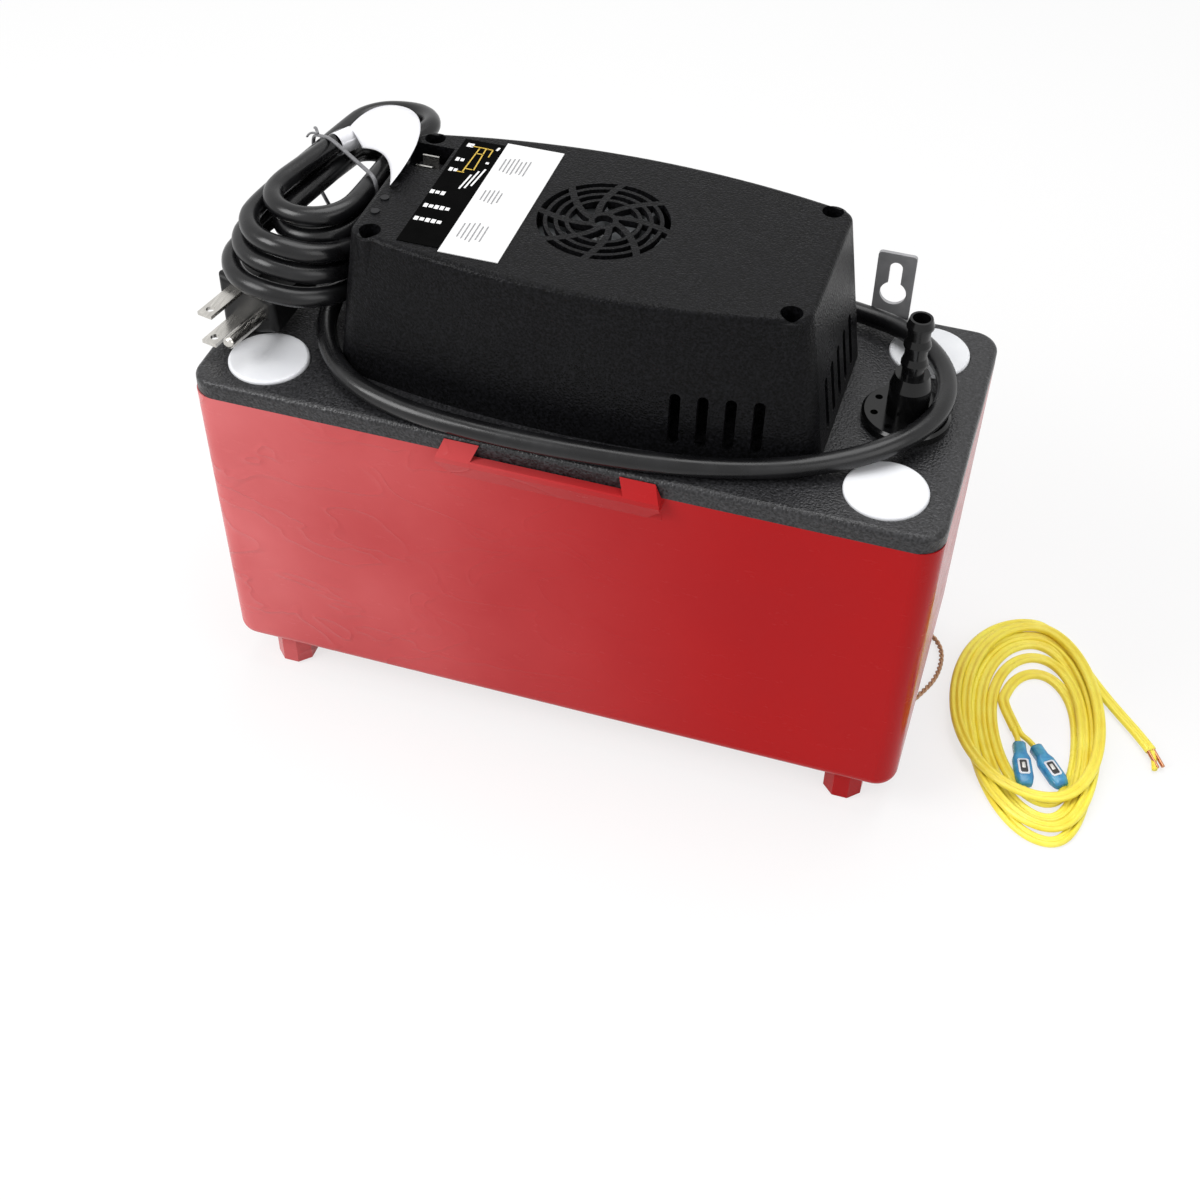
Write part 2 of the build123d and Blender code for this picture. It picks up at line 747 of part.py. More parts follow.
with BuildPart() as motor_bolts:
    with BuildSketch(Plane.XY.offset(deck_z + 1.0)):
        with Locations(*motor_posts):
            Circle(bolt_radius)
    extrude(amount=motor_top - deck_z - 1.0)
    with BuildSketch(Plane.XY.offset(motor_top)):
        with Locations(*motor_posts):
            Circle(2 * bolt_radius)
    extrude(amount=2.0)
motor_bolts.part.label = "motor_bolts"
export_step(motor_bolts.part, "parts/motor_bolts.step")

# turning pieces: shaft, rotor, fan and impeller
with BuildPart() as motor_shaft:
    with BuildSketch(Plane.XY.offset(impeller_z)):
        Circle(shaft_radius)
    extrude(amount=fan_z + fan_height - impeller_z)
motor_shaft.part.label = "motor_shaft"
export_step(motor_shaft.part, "parts/motor_shaft.step")

with BuildPart() as rotor:
    with BuildSketch(Plane.XY.offset(stack_z)):
        Circle(rotor_radius)
        Circle(shaft_radius, mode=Mode.SUBTRACT)
    extrude(amount=stack_height)
rotor.part.label = "rotor"
export_step(rotor.part, "parts/rotor.step")

with BuildPart() as cooling_fan:
    with BuildSketch(Plane.XY.offset(fan_z)):
        Circle(fan_radius)
    extrude(amount=1.2)
    with BuildSketch(Plane.XY.offset(fan_z)):
        Circle(shaft_radius + 3.0)
        with PolarLocations(fan_radius / 2 + 3.0, fan_blades):
            Rectangle(fan_radius - 8.0, 1.4, rotation=18)
    extrude(amount=fan_height)
    with BuildSketch(Plane.XY.offset(fan_z)):
        Circle(shaft_radius)
    extrude(amount=fan_height, mode=Mode.SUBTRACT)
cooling_fan.part.label = "cooling_fan"
export_step(cooling_fan.part, "parts/cooling_fan.step")

with BuildPart() as impeller:
    with BuildSketch(Plane.XY.offset(impeller_z + impeller_height - 1.6)):
        Circle(impeller_radius)
    extrude(amount=1.6)
    with BuildSketch(Plane.XY.offset(impeller_z)):
        Circle(shaft_radius + 2.5)
        with PolarLocations(impeller_radius / 2 + 2.6, impeller_blades):
            Rectangle(impeller_radius - 7.0, 1.6, rotation=-24)
    extrude(amount=impeller_height)
    with BuildSketch(Plane.XY.offset(impeller_z)):
        Circle(shaft_radius)
    extrude(amount=impeller_height, mode=Mode.SUBTRACT)
impeller.part.label = "impeller"
export_step(impeller.part, "parts/impeller.step")

# ================================================================ pump end, below the lid
spigot_z = volute_z + volute_height / 2
with BuildPart() as volute:
    with BuildSketch(Plane.XY.offset(volute_z)):
        Circle(volute_radius)
    extrude(amount=volute_height)
    fillet(volute.faces().sort_by(Axis.Z)[-1].edges(), 2.0)
    with BuildSketch(Plane.YZ.offset(volute_radius - 6.0)):
        with Locations((0, spigot_z)):
            Circle(riser_radius + 2.0)
    extrude(amount=16.0)
    # collar that the column stands in
    with BuildSketch(Plane.XY.offset(volute_top)):
        Circle(column_radius + 2.5)
        Circle(column_radius, mode=Mode.SUBTRACT)
    extrude(amount=6.0)
    with BuildSketch(Plane.XY.offset(volute_z + volute_wall)):
        Circle(volute_radius - volute_wall - 1.5)
    extrude(amount=volute_height - 2 * volute_wall, mode=Mode.SUBTRACT)
    with BuildSketch(Plane.XY.offset(volute_z)):
        Circle(eye_radius)
    extrude(amount=volute_wall, mode=Mode.SUBTRACT)
    with BuildSketch(Plane.XY.offset(volute_top - volute_wall)):
        Circle(shaft_radius + 1.0)
    extrude(amount=volute_wall, mode=Mode.SUBTRACT)
    with BuildSketch(Plane.YZ.offset(volute_radius - 8.0)):
        with Locations((0, spigot_z)):
            Circle(riser_bore)
    extrude(amount=20.0, mode=Mode.SUBTRACT)
    with BuildSketch(Plane.YZ.offset(volute_radius + 2.0)):
        with Locations((0, spigot_z)):
            Circle(riser_radius)
    extrude(amount=20.0, mode=Mode.SUBTRACT)
volute.part.label = "volute"
export_step(volute.part, "parts/volute.step")

# strainer cup: a slotted wall under the volute, open at its foot
with BuildPart() as strainer:
    with BuildSketch(Plane.XY.offset(volute_z - strainer_height)):
        Circle(volute_radius - 2.0)
        Circle(volute_radius - 4.0, mode=Mode.SUBTRACT)
    extrude(amount=strainer_height)
    with BuildSketch(Plane.XY.offset(volute_z - strainer_height)):
        with PolarLocations(volute_radius - 3.0, 16):
            Rectangle(6.0, 3.2)
    extrude(amount=strainer_height - 2.5, mode=Mode.SUBTRACT)
strainer.part.label = "strainer"
export_step(strainer.part, "parts/strainer.step")

with BuildPart() as pump_column:
    with BuildSketch(Plane.XY.offset(volute_top)):
        Circle(column_radius)
        Circle(column_bore, mode=Mode.SUBTRACT)
    extrude(amount=under_z - volute_top)
    # weep slot near the top lets the column drain
    with BuildSketch(Plane.XZ.offset(-2 * column_radius)):
        with Locations((0, under_z - 2.5 * boss_depth)):
            SlotOverall(14.0, 5.0, rotation=90)
    extrude(amount=4 * column_radius, mode=Mode.SUBTRACT)
pump_column.part.label = "pump_column"
export_step(pump_column.part, "parts/pump_column.step")

with BuildPart() as discharge_pipe:
    with BuildLine() as pipe_line:
        FilletPolyline(
            (volute_radius + 2.0, 0, spigot_z), (valve_x, 0, spigot_z), (valve_x, 0, under_z), radius=16.0
        )
    with BuildSketch(Plane(origin=pipe_line.line @ 0, z_dir=pipe_line.line % 0)):
        Circle(riser_radius)
        Circle(riser_bore, mode=Mode.SUBTRACT)
    sweep()
discharge_pipe.part.label = "discharge_pipe"
export_step(discharge_pipe.part, "parts/discharge_pipe.step")

# ================================================================ check valve
valve_shoulder = deck_z + valve_flange_height + valve_body_height
valve_top = valve_shoulder + barb_height
with BuildPart() as check_valve:
    with BuildSketch(Plane.XZ):
        with BuildLine():
            rise = barb_height / barb_count / 2
            outline = [
                (barb_bore, deck_z),
                (valve_flange_radius, deck_z),
                (valve_flange_radius, deck_z + valve_flange_height - 1.0),
                (valve_flange_radius - 1.0, deck_z + valve_flange_height),
                (valve_body_radius, deck_z + valve_flange_height),
                (valve_body_radius, valve_shoulder - 5.0),
                (valve_neck_radius, valve_shoulder),
                (barb_radius - barb_step, valve_shoulder),
            ]
            for barb in range(barb_count):
                foot = valve_shoulder + (2 * barb + 1) * rise
                outline += [
                    (barb_radius - barb_step, foot),
                    (barb_radius, foot + barb_step / 2),
                    (barb_radius, foot + barb_step / 2 + barb_land),
                    (barb_radius - barb_step, foot + rise),
                ]
            Polyline(*outline, (barb_bore, valve_top), close=True)
        make_face()
    revolve(axis=Axis.Z)
    # ball chamber, and spanner holes round the flange
    with BuildSketch(Plane.XY.offset(deck_z + 1.6)):
        Circle(ball_radius + ball_clearance)
    extrude(amount=ball_lift + 2 * ball_radius + 1.6, mode=Mode.SUBTRACT)
    with BuildSketch(Plane.XY.offset(deck_z + valve_flange_height - 2.0)):
        with PolarLocations((valve_flange_radius + valve_body_radius) / 2, 8, start_angle=22.5):
            Circle(1.4)
    extrude(amount=2.0, mode=Mode.SUBTRACT)
check_valve.part.position = (valve_x, 0, 0)
check_valve.part.label = "check_valve"
export_step(check_valve.part, "parts/check_valve.step")

ball_z = deck_z + 1.6 + sqrt(ball_radius**2 - barb_bore**2) + 0.05
with BuildPart() as valve_ball:
    with Locations((valve_x, 0, ball_z)):
        Sphere(ball_radius)
valve_ball.part.label = "valve_ball"
export_step(valve_ball.part, "parts/valve_ball.step")

# ================================================================ float, lever and switches
float_top = float_base + float_height
lever_z = deck_z + lever_rise
rod_top = lever_z - plunger_gap
with BuildPart() as pump_float:
    with BuildSketch(Plane.XY.offset(float_base)):
        with Locations((float_x, 0)):
            RectangleRounded(float_length, float_width, 8.0)
    extrude(amount=float_height)
    fillet(pump_float.faces().filter_by(Axis.Z).edges(), 3.0)
    with BuildSketch(Plane.XY.offset(float_base)):
        with Locations((float_x, 0)):
            Circle(rod_radius)
    extrude(amount=float_height, mode=Mode.SUBTRACT)
pump_float.part.label = "pump_float"
export_step(pump_float.part, "parts/pump_float.step")

with BuildPart() as float_rod:
    with BuildSketch(Plane.XY.offset(float_base)):
        with Locations((float_x, 0)):
            Circle(rod_radius)
    extrude(amount=rod_top - float_base)
float_rod.part.label = "float_rod"
export_step(float_rod.part, "parts/float_rod.step")

cheek_y = lever_width / 2 + 0.8
with BuildPart() as switch_bracket:
    cheek_left = lever_pivot_x - 8.0
    cheek_right = lever_pivot_x + switch_length - plunger_from_pivot - 4.0
    cheek_top = lever_z + 2 + plunger_gap + 4.0 + switch_height
    with BuildSketch(Plane.XZ.offset(-cheek_y)):
        with Locations(((cheek_left + cheek_right) / 2, (deck_z + cheek_top) / 2)):
            Rectangle(cheek_right - cheek_left, cheek_top - deck_z)
        with Locations((lever_pivot_x, lever_z)):
            Circle(pin_radius, mode=Mode.SUBTRACT)
    extrude(amount=-1.5)
    mirror(about=Plane.XZ)
    with BuildSketch(Plane.XY.offset(deck_z)):
        with Locations(((cheek_left + cheek_right) / 2, 0)):
            Rectangle(cheek_right - cheek_left, 2 * cheek_y)
    extrude(amount=1.5)
switch_bracket.part.label = "switch_bracket"
export_step(switch_bracket.part, "parts/switch_bracket.step")

with BuildPart() as lever_pin:
    with BuildSketch(Plane.XZ.offset(-cheek_y - 2.5)):
        with Locations((lever_pivot_x, lever_z)):
            Circle(pin_radius)
    extrude(amount=2 * cheek_y + 5.0)
lever_pin.part.label = "lever_pin"
export_step(lever_pin.part, "parts/lever_pin.step")

with BuildPart() as switch_lever:
    with BuildSketch(Plane.XZ.offset(-lever_width / 2)):
        lever_tip = float_x - lever_overhang
        with Locations(((lever_tip + lever_pivot_x) / 2, lever_z + lever_thickness / 2)):
            Rectangle(lever_pivot_x - lever_tip, lever_thickness)
        with Locations((lever_pivot_x, lever_z)):
            Circle(pin_radius + 1.4)
            Circle(pin_radius + 0.1, mode=Mode.SUBTRACT)
    extrude(amount=lever_width)
switch_lever.part.label = "switch_lever"
export_step(switch_lever.part, "parts/switch_lever.step")

switch_z = cheek_top - switch_height
switch_left = lever_pivot_x - plunger_from_pivot - 2.5
plungers_at = [(lever_pivot_x - plunger_from_pivot, side * switch_offset_y) for side in (-1, 1)]
with BuildPart() as float_switches:
    with BuildSketch(Plane.XY.offset(switch_z)):
        with GridLocations(1, 2 * switch_offset_y, 1, 2):
            with Locations((switch_left + switch_length / 2, 0)):
                Rectangle(switch_length, switch_width)
    extrude(amount=switch_height)
    with BuildSketch(Plane.XY.offset(switch_z)):
        with Locations(*plungers_at):
            Circle(plunger_radius + 0.1)
    extrude(amount=switch_height - 1.5, mode=Mode.SUBTRACT)
    # pins that hang the pair between the cheeks
    for offset in (6.0, 16.0):
        with BuildSketch(Plane.XZ.offset(-cheek_y)):
            with Locations((switch_left + offset, switch_z + switch_height - 3.0)):
                Circle(1.3)
        extrude(amount=2 * cheek_y)
float_switches.part.label = "float_switches"
export_step(float_switches.part, "parts/float_switches.step")

with BuildPart() as switch_plungers:
    with BuildSketch(Plane.XY.offset(lever_z + lever_thickness + plunger_gap)):
        with Locations(*plungers_at):
            Circle(plunger_radius)
    extrude(amount=switch_z - lever_z - lever_thickness + 2.0)
switch_plungers.part.label = "switch_plungers"
export_step(switch_plungers.part, "parts/switch_plungers.step")

# ================================================================ cord gland and mains cord
with BuildPart() as cord_gland:
    with BuildSketch(Plane.XZ.offset(-cover_top_end_half_width - 6.0)):
        with Locations((gland_x, gland_z)):
            Circle(gland_neck)
    extrude(amount=-(gland_cord_y - cover_top_end_half_width - 6.0))
    with BuildSketch(Plane.YZ.offset(gland_x - 8.0)):
        with Locations((gland_cord_y - 0.4, gland_z)):
            RectangleRounded(12.4, 12.6, 3.0)
    extrude(amount=16.0)
    # tapered sleeve along the wall
    for x, radius in ((gland_x + 8.0, 5.6), (gland_x + 8.0 + gland_sleeve, cord_radius + 0.7)):
        with BuildSketch(Plane.YZ.offset(x)):
            with Locations((gland_cord_y, gland_z)):
                Circle(radius)
    loft()
cord_gland.part.label = "cord_gland"
export_step(cord_gland.part, "parts/cord_gland.step")


def tube_line(points):
    """Straight runs joined by arcs as large as each pair of runs allows."""
    spots = [Vector(*point) for point in points]
    radii = []
    for before, here, after in zip(spots, spots[1:], spots[2:]):
        first, second = here - before, after - here
        turn = radians(first.get_angle(second))
        radii.append(0.45 * min(first.length, second.length) / (sin(turn / 2) / cos(turn / 2)))
    return spots, radii


gland_end = gland_x + 8.0 + gland_sleeve
cord_route = [
    (gland_end, gland_cord_y, gland_z),
    (60.0, 54.3, 158.4),
    (85.0, 51.4, 158.6),
    (109.0, 43.0, 160.0),
    (126.0, 23.5, 161.2),
    (129.4, -1.5, 161.8),
    (117.4, -25.0, 161.2),
    (94.5, -39.8, 158.0),
    (69.5, -50.0, 157.2),
    (40.0, -56.8, 157.2),
    (8.0, -59.6, 157.2),
    (-25.0, -60.4, 157.2),
    (-59.0, -57.4, 157.2),
    (-84.7, -47.7, 157.6),
    (-100.2, -27.5, 160.5),
    (-102.2, -3.2, 168.5),
    (-98.0, 18.0, 177.0),
    (-94.0, 35.0, 184.5),
]
plug_plane = Plane(
    origin=plug_face,
    x_dir=Vector(cos(radians(plug_turn)), -sin(radians(plug_turn)), 0),
    z_dir=Vector(-sin(radians(plug_turn)), -cos(radians(plug_turn)), 0),
)
tail_start = plug_plane.from_local_coords(Vector(plug_cord_offset, 0, -plug_body_length - plug_relief))
tail_route = [
    tuple(tail_start),
    (-115.2, 40.5, 166.0),
    (-116.5, 55.0, 172.0),
    (-119.0, 66.0, 183.5),
]

spots, radii = tube_line(cord_route)
print("power cord radii", [round(radius) for radius in radii])
with BuildPart() as power_cord:
    with BuildLine() as cord_line:
        FilletPolyline(*spots, radius=radii)
    with BuildSketch(Plane(origin=cord_line.line @ 0, z_dir=cord_line.line % 0)):
        Circle(cord_radius)
    sweep()
power_cord.part.label = "power_cord"
export_step(power_cord.part, "parts/power_cord.step")
print("power cord run", round(cord_line.wires()[0].length), "by volume", round(power_cord.part.volume / (pi * cord_radius**2)))

spots, radii = tube_line(tail_route)
print("tail radii", [round(radius) for radius in radii])
with BuildPart() as power_cord_tail:
    with BuildLine() as tail_line:
        FilletPolyline(*spots, radius=radii)
    with BuildSketch(Plane(origin=tail_line.line @ 0, z_dir=tail_line.line % 0)):
        Circle(cord_radius)
    sweep()
power_cord_tail.part.label = "power_cord_tail"
export_step(power_cord_tail.part, "parts/power_cord_tail.step")

# hank: the turns stand on the plug and reach back over the left bracket
hank_base = deck_z + bracket_rise + 0.8
with BuildPart() as power_cord_hank:
    with BuildSketch(Plane.XY.offset(hank_base)):
        with Locations((hank_x, hank_y)):
            RectangleRounded(hank_length, hank_width, 24.0)
        with Locations((hank_hole_x, hank_hole_y)):
            RectangleRounded(hank_hole_length, hank_hole_width, 7.0, mode=Mode.SUBTRACT)
    extrude(amount=hank_height)
    fillet(power_cord_hank.faces().filter_by(Axis.Z).edges(), 3.0)
power_cord_hank.part.label = "power_cord_hank"
export_step(power_cord_hank.part, "parts/power_cord_hank.step")

with BuildPart() as cord_tie:
    tie_from = Vector(hank_x - hank_length / 2 - 0.8, 43.0, 0)
    tie_to = Vector(hank_x + hank_length / 2 - 0.2, 2.0, 0)
    tie_run = tie_to - tie_from
    tie_middle = (tie_from + tie_to) * 0.5
    tie_z = hank_base + hank_height / 2
    tie_plane = Plane(
        origin=(tie_middle.X, tie_middle.Y, tie_z), x_dir=tie_run, z_dir=tie_run.cross(Vector(0, 0, 1))
    )
    with BuildSketch(tie_plane):
        RectangleRounded(tie_run.length, hank_height + 2.0, 4.0)
        RectangleRounded(tie_run.length - 1.6, hank_height + 0.4, 3.5, mode=Mode.SUBTRACT)
    extrude(amount=1.5, both=True)
cord_tie.part.label = "cord_tie"
export_step(cord_tie.part, "parts/cord_tie.step")

with BuildPart() as cord_tag:
    with BuildSketch(Plane.XY.offset(hank_base + hank_height + 0.4)):
        with Locations((tag_x, tag_y)):
            Rectangle(tag_length, tag_width)
    extrude(amount=0.6)
cord_tag.part.label = "cord_tag"
export_step(cord_tag.part, "parts/cord_tag.step")

# ================================================================ plug, lying on its side with its blades forward
with BuildPart() as plug_body:
    with BuildSketch(plug_plane):
        Polygon(
            (-8.0, -plug_half_height),
            (6.0, -plug_half_height),
            (18.0, -7.0),
            (18.0, 7.0),
            (6.0, plug_half_height),
            (-8.0, plug_half_height),
            align=None,
        )
    extrude(amount=-plug_body_length, taper=7)
    fillet(plug_body.edges().filter_by(GeomType.LINE), 2.5)
    for depth, radius in ((plug_body_length - 2.0, 6.2), (plug_body_length + plug_relief, cord_radius + 0.7)):
        with BuildSketch(plug_plane.offset(-depth)):
            with Locations((plug_cord_offset, 0)):
                Circle(radius)
    loft()
plug_body.part.label = "plug_body"
export_step(plug_body.part, "parts/plug_body.step")

with BuildPart() as plug_blades:
    with BuildSketch(plug_plane):
        with GridLocations(1, blade_spacing, 1, 2):
            Rectangle(blade_width, blade_thickness)
    extrude(amount=blade_length)
    with BuildSketch(Plane(origin=plug_face, x_dir=plug_plane.x_dir, z_dir=plug_plane.y_dir).offset(-blade_spacing)):
        with Locations((0, -(blade_length - 3.6))):
            Circle(blade_hole_radius)
    extrude(amount=2 * blade_spacing, mode=Mode.SUBTRACT)
plug_blades.part.label = "plug_blades"
export_step(plug_blades.part, "parts/plug_blades.step")

with BuildPart() as plug_ground_pin:
    with BuildSketch(plug_plane):
        with Locations((pin_offset, 0)):
            Circle(ground_radius)
    extrude(amount=ground_length)
    fillet(plug_ground_pin.edges().group_by(Axis.Y)[0], 1.6)
plug_ground_pin.part.label = "plug_ground_pin"
export_step(plug_ground_pin.part, "parts/plug_ground_pin.step")

# ================================================================ safety-switch lead, coiled on the floor
with BuildPart() as safety_lead_coil:
    with BuildSketch(Plane.XY.offset(0.1)):
        with Locations((coil_x, coil_y)):
            Ellipse(coil_long, coil_short, rotation=coil_turn)
        with Locations((coil_hole_x, coil_hole_y)):
            Ellipse(coil_hole_long, coil_hole_short, rotation=coil_hole_turn, mode=Mode.SUBTRACT)
    extrude(amount=coil_height)
safety_lead_coil.part.label = "safety_lead_coil"
export_step(safety_lead_coil.part, "parts/safety_lead_coil.step")

tail_lead_route = [
    (204.0, 46.6, 3.4),
    (213.0, 37.2, lead_axis_z),
    (223.0, 26.4, lead_axis_z),
    (230.5, 17.0, lead_axis_z),
    (235.5, 8.6, lead_axis_z),
]
spots, radii = tube_line(tail_lead_route)
print("lead tail radii", [round(radius) for radius in radii])
with BuildPart() as safety_lead_tail:
    with BuildLine() as lead_tail_line:
        FilletPolyline(*spots, radius=radii)
    with BuildSketch(Plane(origin=lead_tail_line.line @ 0, z_dir=lead_tail_line.line % 0)):
        Circle(lead_width / 2)
    sweep()
safety_lead_tail.part.label = "safety_lead_tail"
export_step(safety_lead_tail.part, "parts/safety_lead_tail.step")

# the other end leaves the coil inwards, and its two cores part to a connector each
fork_route = [
    (168.6, 28.2, 3.4),
    (172.9, 19.4, 2.7),
    (177.2, 11.2, lead_axis_z),
    (*fork_point, lead_axis_z),
]
connectors = [((183.4, -4.9), -74.4), ((190.1, -4.6), -52.0)]
spots, radii = tube_line(fork_route)
print("lead fork radii", [round(radius) for radius in radii])
with BuildPart() as safety_lead_fork:
    with BuildLine() as fork_line:
        FilletPolyline(*spots, radius=radii)
    with BuildSketch(Plane(origin=fork_line.line @ 0, z_dir=fork_line.line % 0)):
        Circle(lead_width / 2)
    sweep()
    for barrel_mouth, heading in connectors:
        core = Vector(*barrel_mouth) - Vector(*fork_point)
        with BuildSketch(Plane(origin=(*fork_point, lead_axis_z), z_dir=core)):
            Circle(core_radius)
        extrude(amount=core.length)
safety_lead_fork.part.label = "safety_lead_fork"
export_step(safety_lead_fork.part, "parts/safety_lead_fork.step")

with BuildPart() as spade_connectors:
    for barrel_mouth, heading in connectors:
        with BuildSketch(Plane.XY.offset(lead_axis_z - connector_height / 2)):
            with Locations(Location((*barrel_mouth, 0), (0, 0, heading))):
                with Locations((connector_barrel / 2 + fit_gap, 0)):
                    Rectangle(connector_barrel, connector_barrel_width)
                with Locations(((connector_length + connector_barrel) / 2, 0)):
                    RectangleRounded(connector_length - connector_barrel, connector_width, 2.0)
        extrude(amount=connector_height)
spade_connectors.part.label = "spade_connectors"
export_step(spade_connectors.part, "parts/spade_connectors.step")

lead_end_plane = Plane(origin=lead_tail_line.line @ 1, x_dir=(1, 0.4, 0), z_dir=lead_tail_line.line % 1)
with BuildPart() as stripped_ends:
    for side in (-1, 1):
        with BuildSketch(lead_end_plane):
            with Locations((side * lead_width / 4, 0)):
                Circle(0.8)
        extrude(amount=9.0)
stripped_ends.part.label = "stripped_ends"
export_step(stripped_ends.part, "parts/stripped_ends.step")
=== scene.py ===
# Condensate pump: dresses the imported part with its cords, prints and finishes. Metres, same frame as the part.
import math

import bpy
import numpy as np
from mathutils import Matrix, Vector


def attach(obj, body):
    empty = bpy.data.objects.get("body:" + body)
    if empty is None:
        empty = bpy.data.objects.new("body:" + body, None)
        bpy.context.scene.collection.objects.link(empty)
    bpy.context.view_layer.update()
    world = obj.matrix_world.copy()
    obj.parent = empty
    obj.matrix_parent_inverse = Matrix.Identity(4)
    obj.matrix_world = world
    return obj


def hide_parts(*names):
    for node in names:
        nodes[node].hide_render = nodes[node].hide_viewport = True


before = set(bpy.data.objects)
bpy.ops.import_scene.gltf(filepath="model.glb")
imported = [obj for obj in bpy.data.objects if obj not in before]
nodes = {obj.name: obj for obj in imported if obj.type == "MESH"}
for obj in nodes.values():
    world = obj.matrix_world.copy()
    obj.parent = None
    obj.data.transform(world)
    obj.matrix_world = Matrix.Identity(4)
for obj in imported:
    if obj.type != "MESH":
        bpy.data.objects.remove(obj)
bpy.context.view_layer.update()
mm = 0.001
print("frame loaded:", len(nodes), "nodes")

# camera
cameraSetup = {
    "eye": (162.699, -536.866, 585.686),
    "turn": 16.722,      # degrees round the pump, from its front towards its right end
    "height": 45.048,    # degrees above the floor
    "roll": 1.138,
    "lens": 56.202,
    "sensor": 36.0,
    "clip": (0.01, 20.0),    # metres in front of the eye
}


def placeCamera(setup):
    # back = the way from the pump to the eye; right and up are turned about it by the roll
    turn, height, roll = (math.radians(setup[key]) for key in ("turn", "height", "roll"))
    back = Vector((math.sin(turn) * math.cos(height), -math.cos(turn) * math.cos(height), math.sin(height)))
    right = Vector((math.cos(turn), math.sin(turn), 0))
    up = back.cross(right)
    rolledRight = right * math.cos(roll) + up * math.sin(roll)
    rolledUp = up * math.cos(roll) - right * math.sin(roll)
    camera = bpy.data.objects.new("camera", bpy.data.cameras.new("camera"))
    camera.data.lens = setup["lens"]
    camera.data.sensor_width = setup["sensor"]
    camera.data.clip_start, camera.data.clip_end = setup["clip"]
    camera.data.dof.use_dof = False
    camera.matrix_world = Matrix.LocRotScale(
        Vector(setup["eye"]) * mm, Matrix((rolledRight, rolledUp, back)).transposed(), None
    )
    bpy.context.scene.collection.objects.link(camera)
    bpy.context.scene.camera = camera


placeCamera(cameraSetup)
print("camera placed")


# node helpers for the finishes
class Finish:
    # a material's node tree with one Principled shader; add() makes a node and links its named inputs
    def __init__(self, name, colour, roughness, **shader):
        self.material = bpy.data.materials.new(name)
        self.material.use_nodes = True
        self.tree = self.material.node_tree
        self.shader = self.tree.nodes["Principled BSDF"]
        self.shader.inputs["Base Color"].default_value = (*colour, 1)
        self.shader.inputs["Roughness"].default_value = roughness
        for socket, value in shader.items():
            self.shader.inputs[socket.replace("_", " ")].default_value = value
        self.place = self.add("ShaderNodeTexCoord").outputs["Object"]

    def add(self, kind, inputs=(), **settings):
        node = self.tree.nodes.new(kind)
        for key, value in settings.items():
            setattr(node, key, value)
        for key, value in dict(inputs).items():
            if isinstance(value, bpy.types.NodeSocket):
                self.tree.links.new(value, node.inputs[key])
            else:
                node.inputs[key].default_value = value
        return node

    def noise(self, scale, detail=3.0, rough=0.5, place=None, distortion=0.0):
        # cloudy noise, 0 to 1, with scale lumps to the metre
        node = self.add("ShaderNodeTexNoise", {
            "Vector": place or self.place, "Scale": scale, "Detail": detail,
            "Roughness": rough, "Distortion": distortion,
        })
        return node.outputs["Fac"]

    def stretched(self, scale):
        # the place with each axis multiplied, so that a pattern on it is drawn out along the axes of low scale
        return self.add("ShaderNodeMapping", {"Vector": self.place, "Scale": scale}).outputs["Vector"]

    def band(self, value, low, high, toLow=0.0, toHigh=1.0):
        # low..high of value becomes toLow..toHigh, and stays there outside
        return self.add("ShaderNodeMapRange", {
            "Value": value, "From Min": low, "From Max": high, "To Min": toLow, "To Max": toHigh,
        }, clamp=True).outputs["Result"]

    def math(self, operation, first, second=0.0):
        # one sum of two values or sockets
        return self.add("ShaderNodeMath", {0: first, 1: second}, operation=operation).outputs["Value"]

    def blend(self, factor, first, second):
        # first * (1 - factor) + second * factor, for colours or sockets
        node = self.add("ShaderNodeMix", data_type="RGBA")
        for socket, value in zip((node.inputs[0], node.inputs[6], node.inputs[7]), (factor, first, second)):
            if isinstance(value, bpy.types.NodeSocket):
                self.tree.links.new(value, socket)
            else:
                socket.default_value = (*value, 1) if isinstance(value, tuple) else value
        return node.outputs[2]

    def colour(self, socket):
        self.tree.links.new(socket, self.shader.inputs["Base Color"])

    def roughness(self, socket):
        self.tree.links.new(socket, self.shader.inputs["Roughness"])

    def bump(self, height, strength, distance=0.0002):
        # bumps stack: each new one bends the normal that the last one left
        node = self.add("ShaderNodeBump", {"Height": height, "Strength": strength, "Distance": distance})
        taken = self.shader.inputs["Normal"].links
        if taken:
            self.tree.links.new(taken[0].from_socket, node.inputs["Normal"])
        self.tree.links.new(node.outputs["Normal"], self.shader.inputs["Normal"])


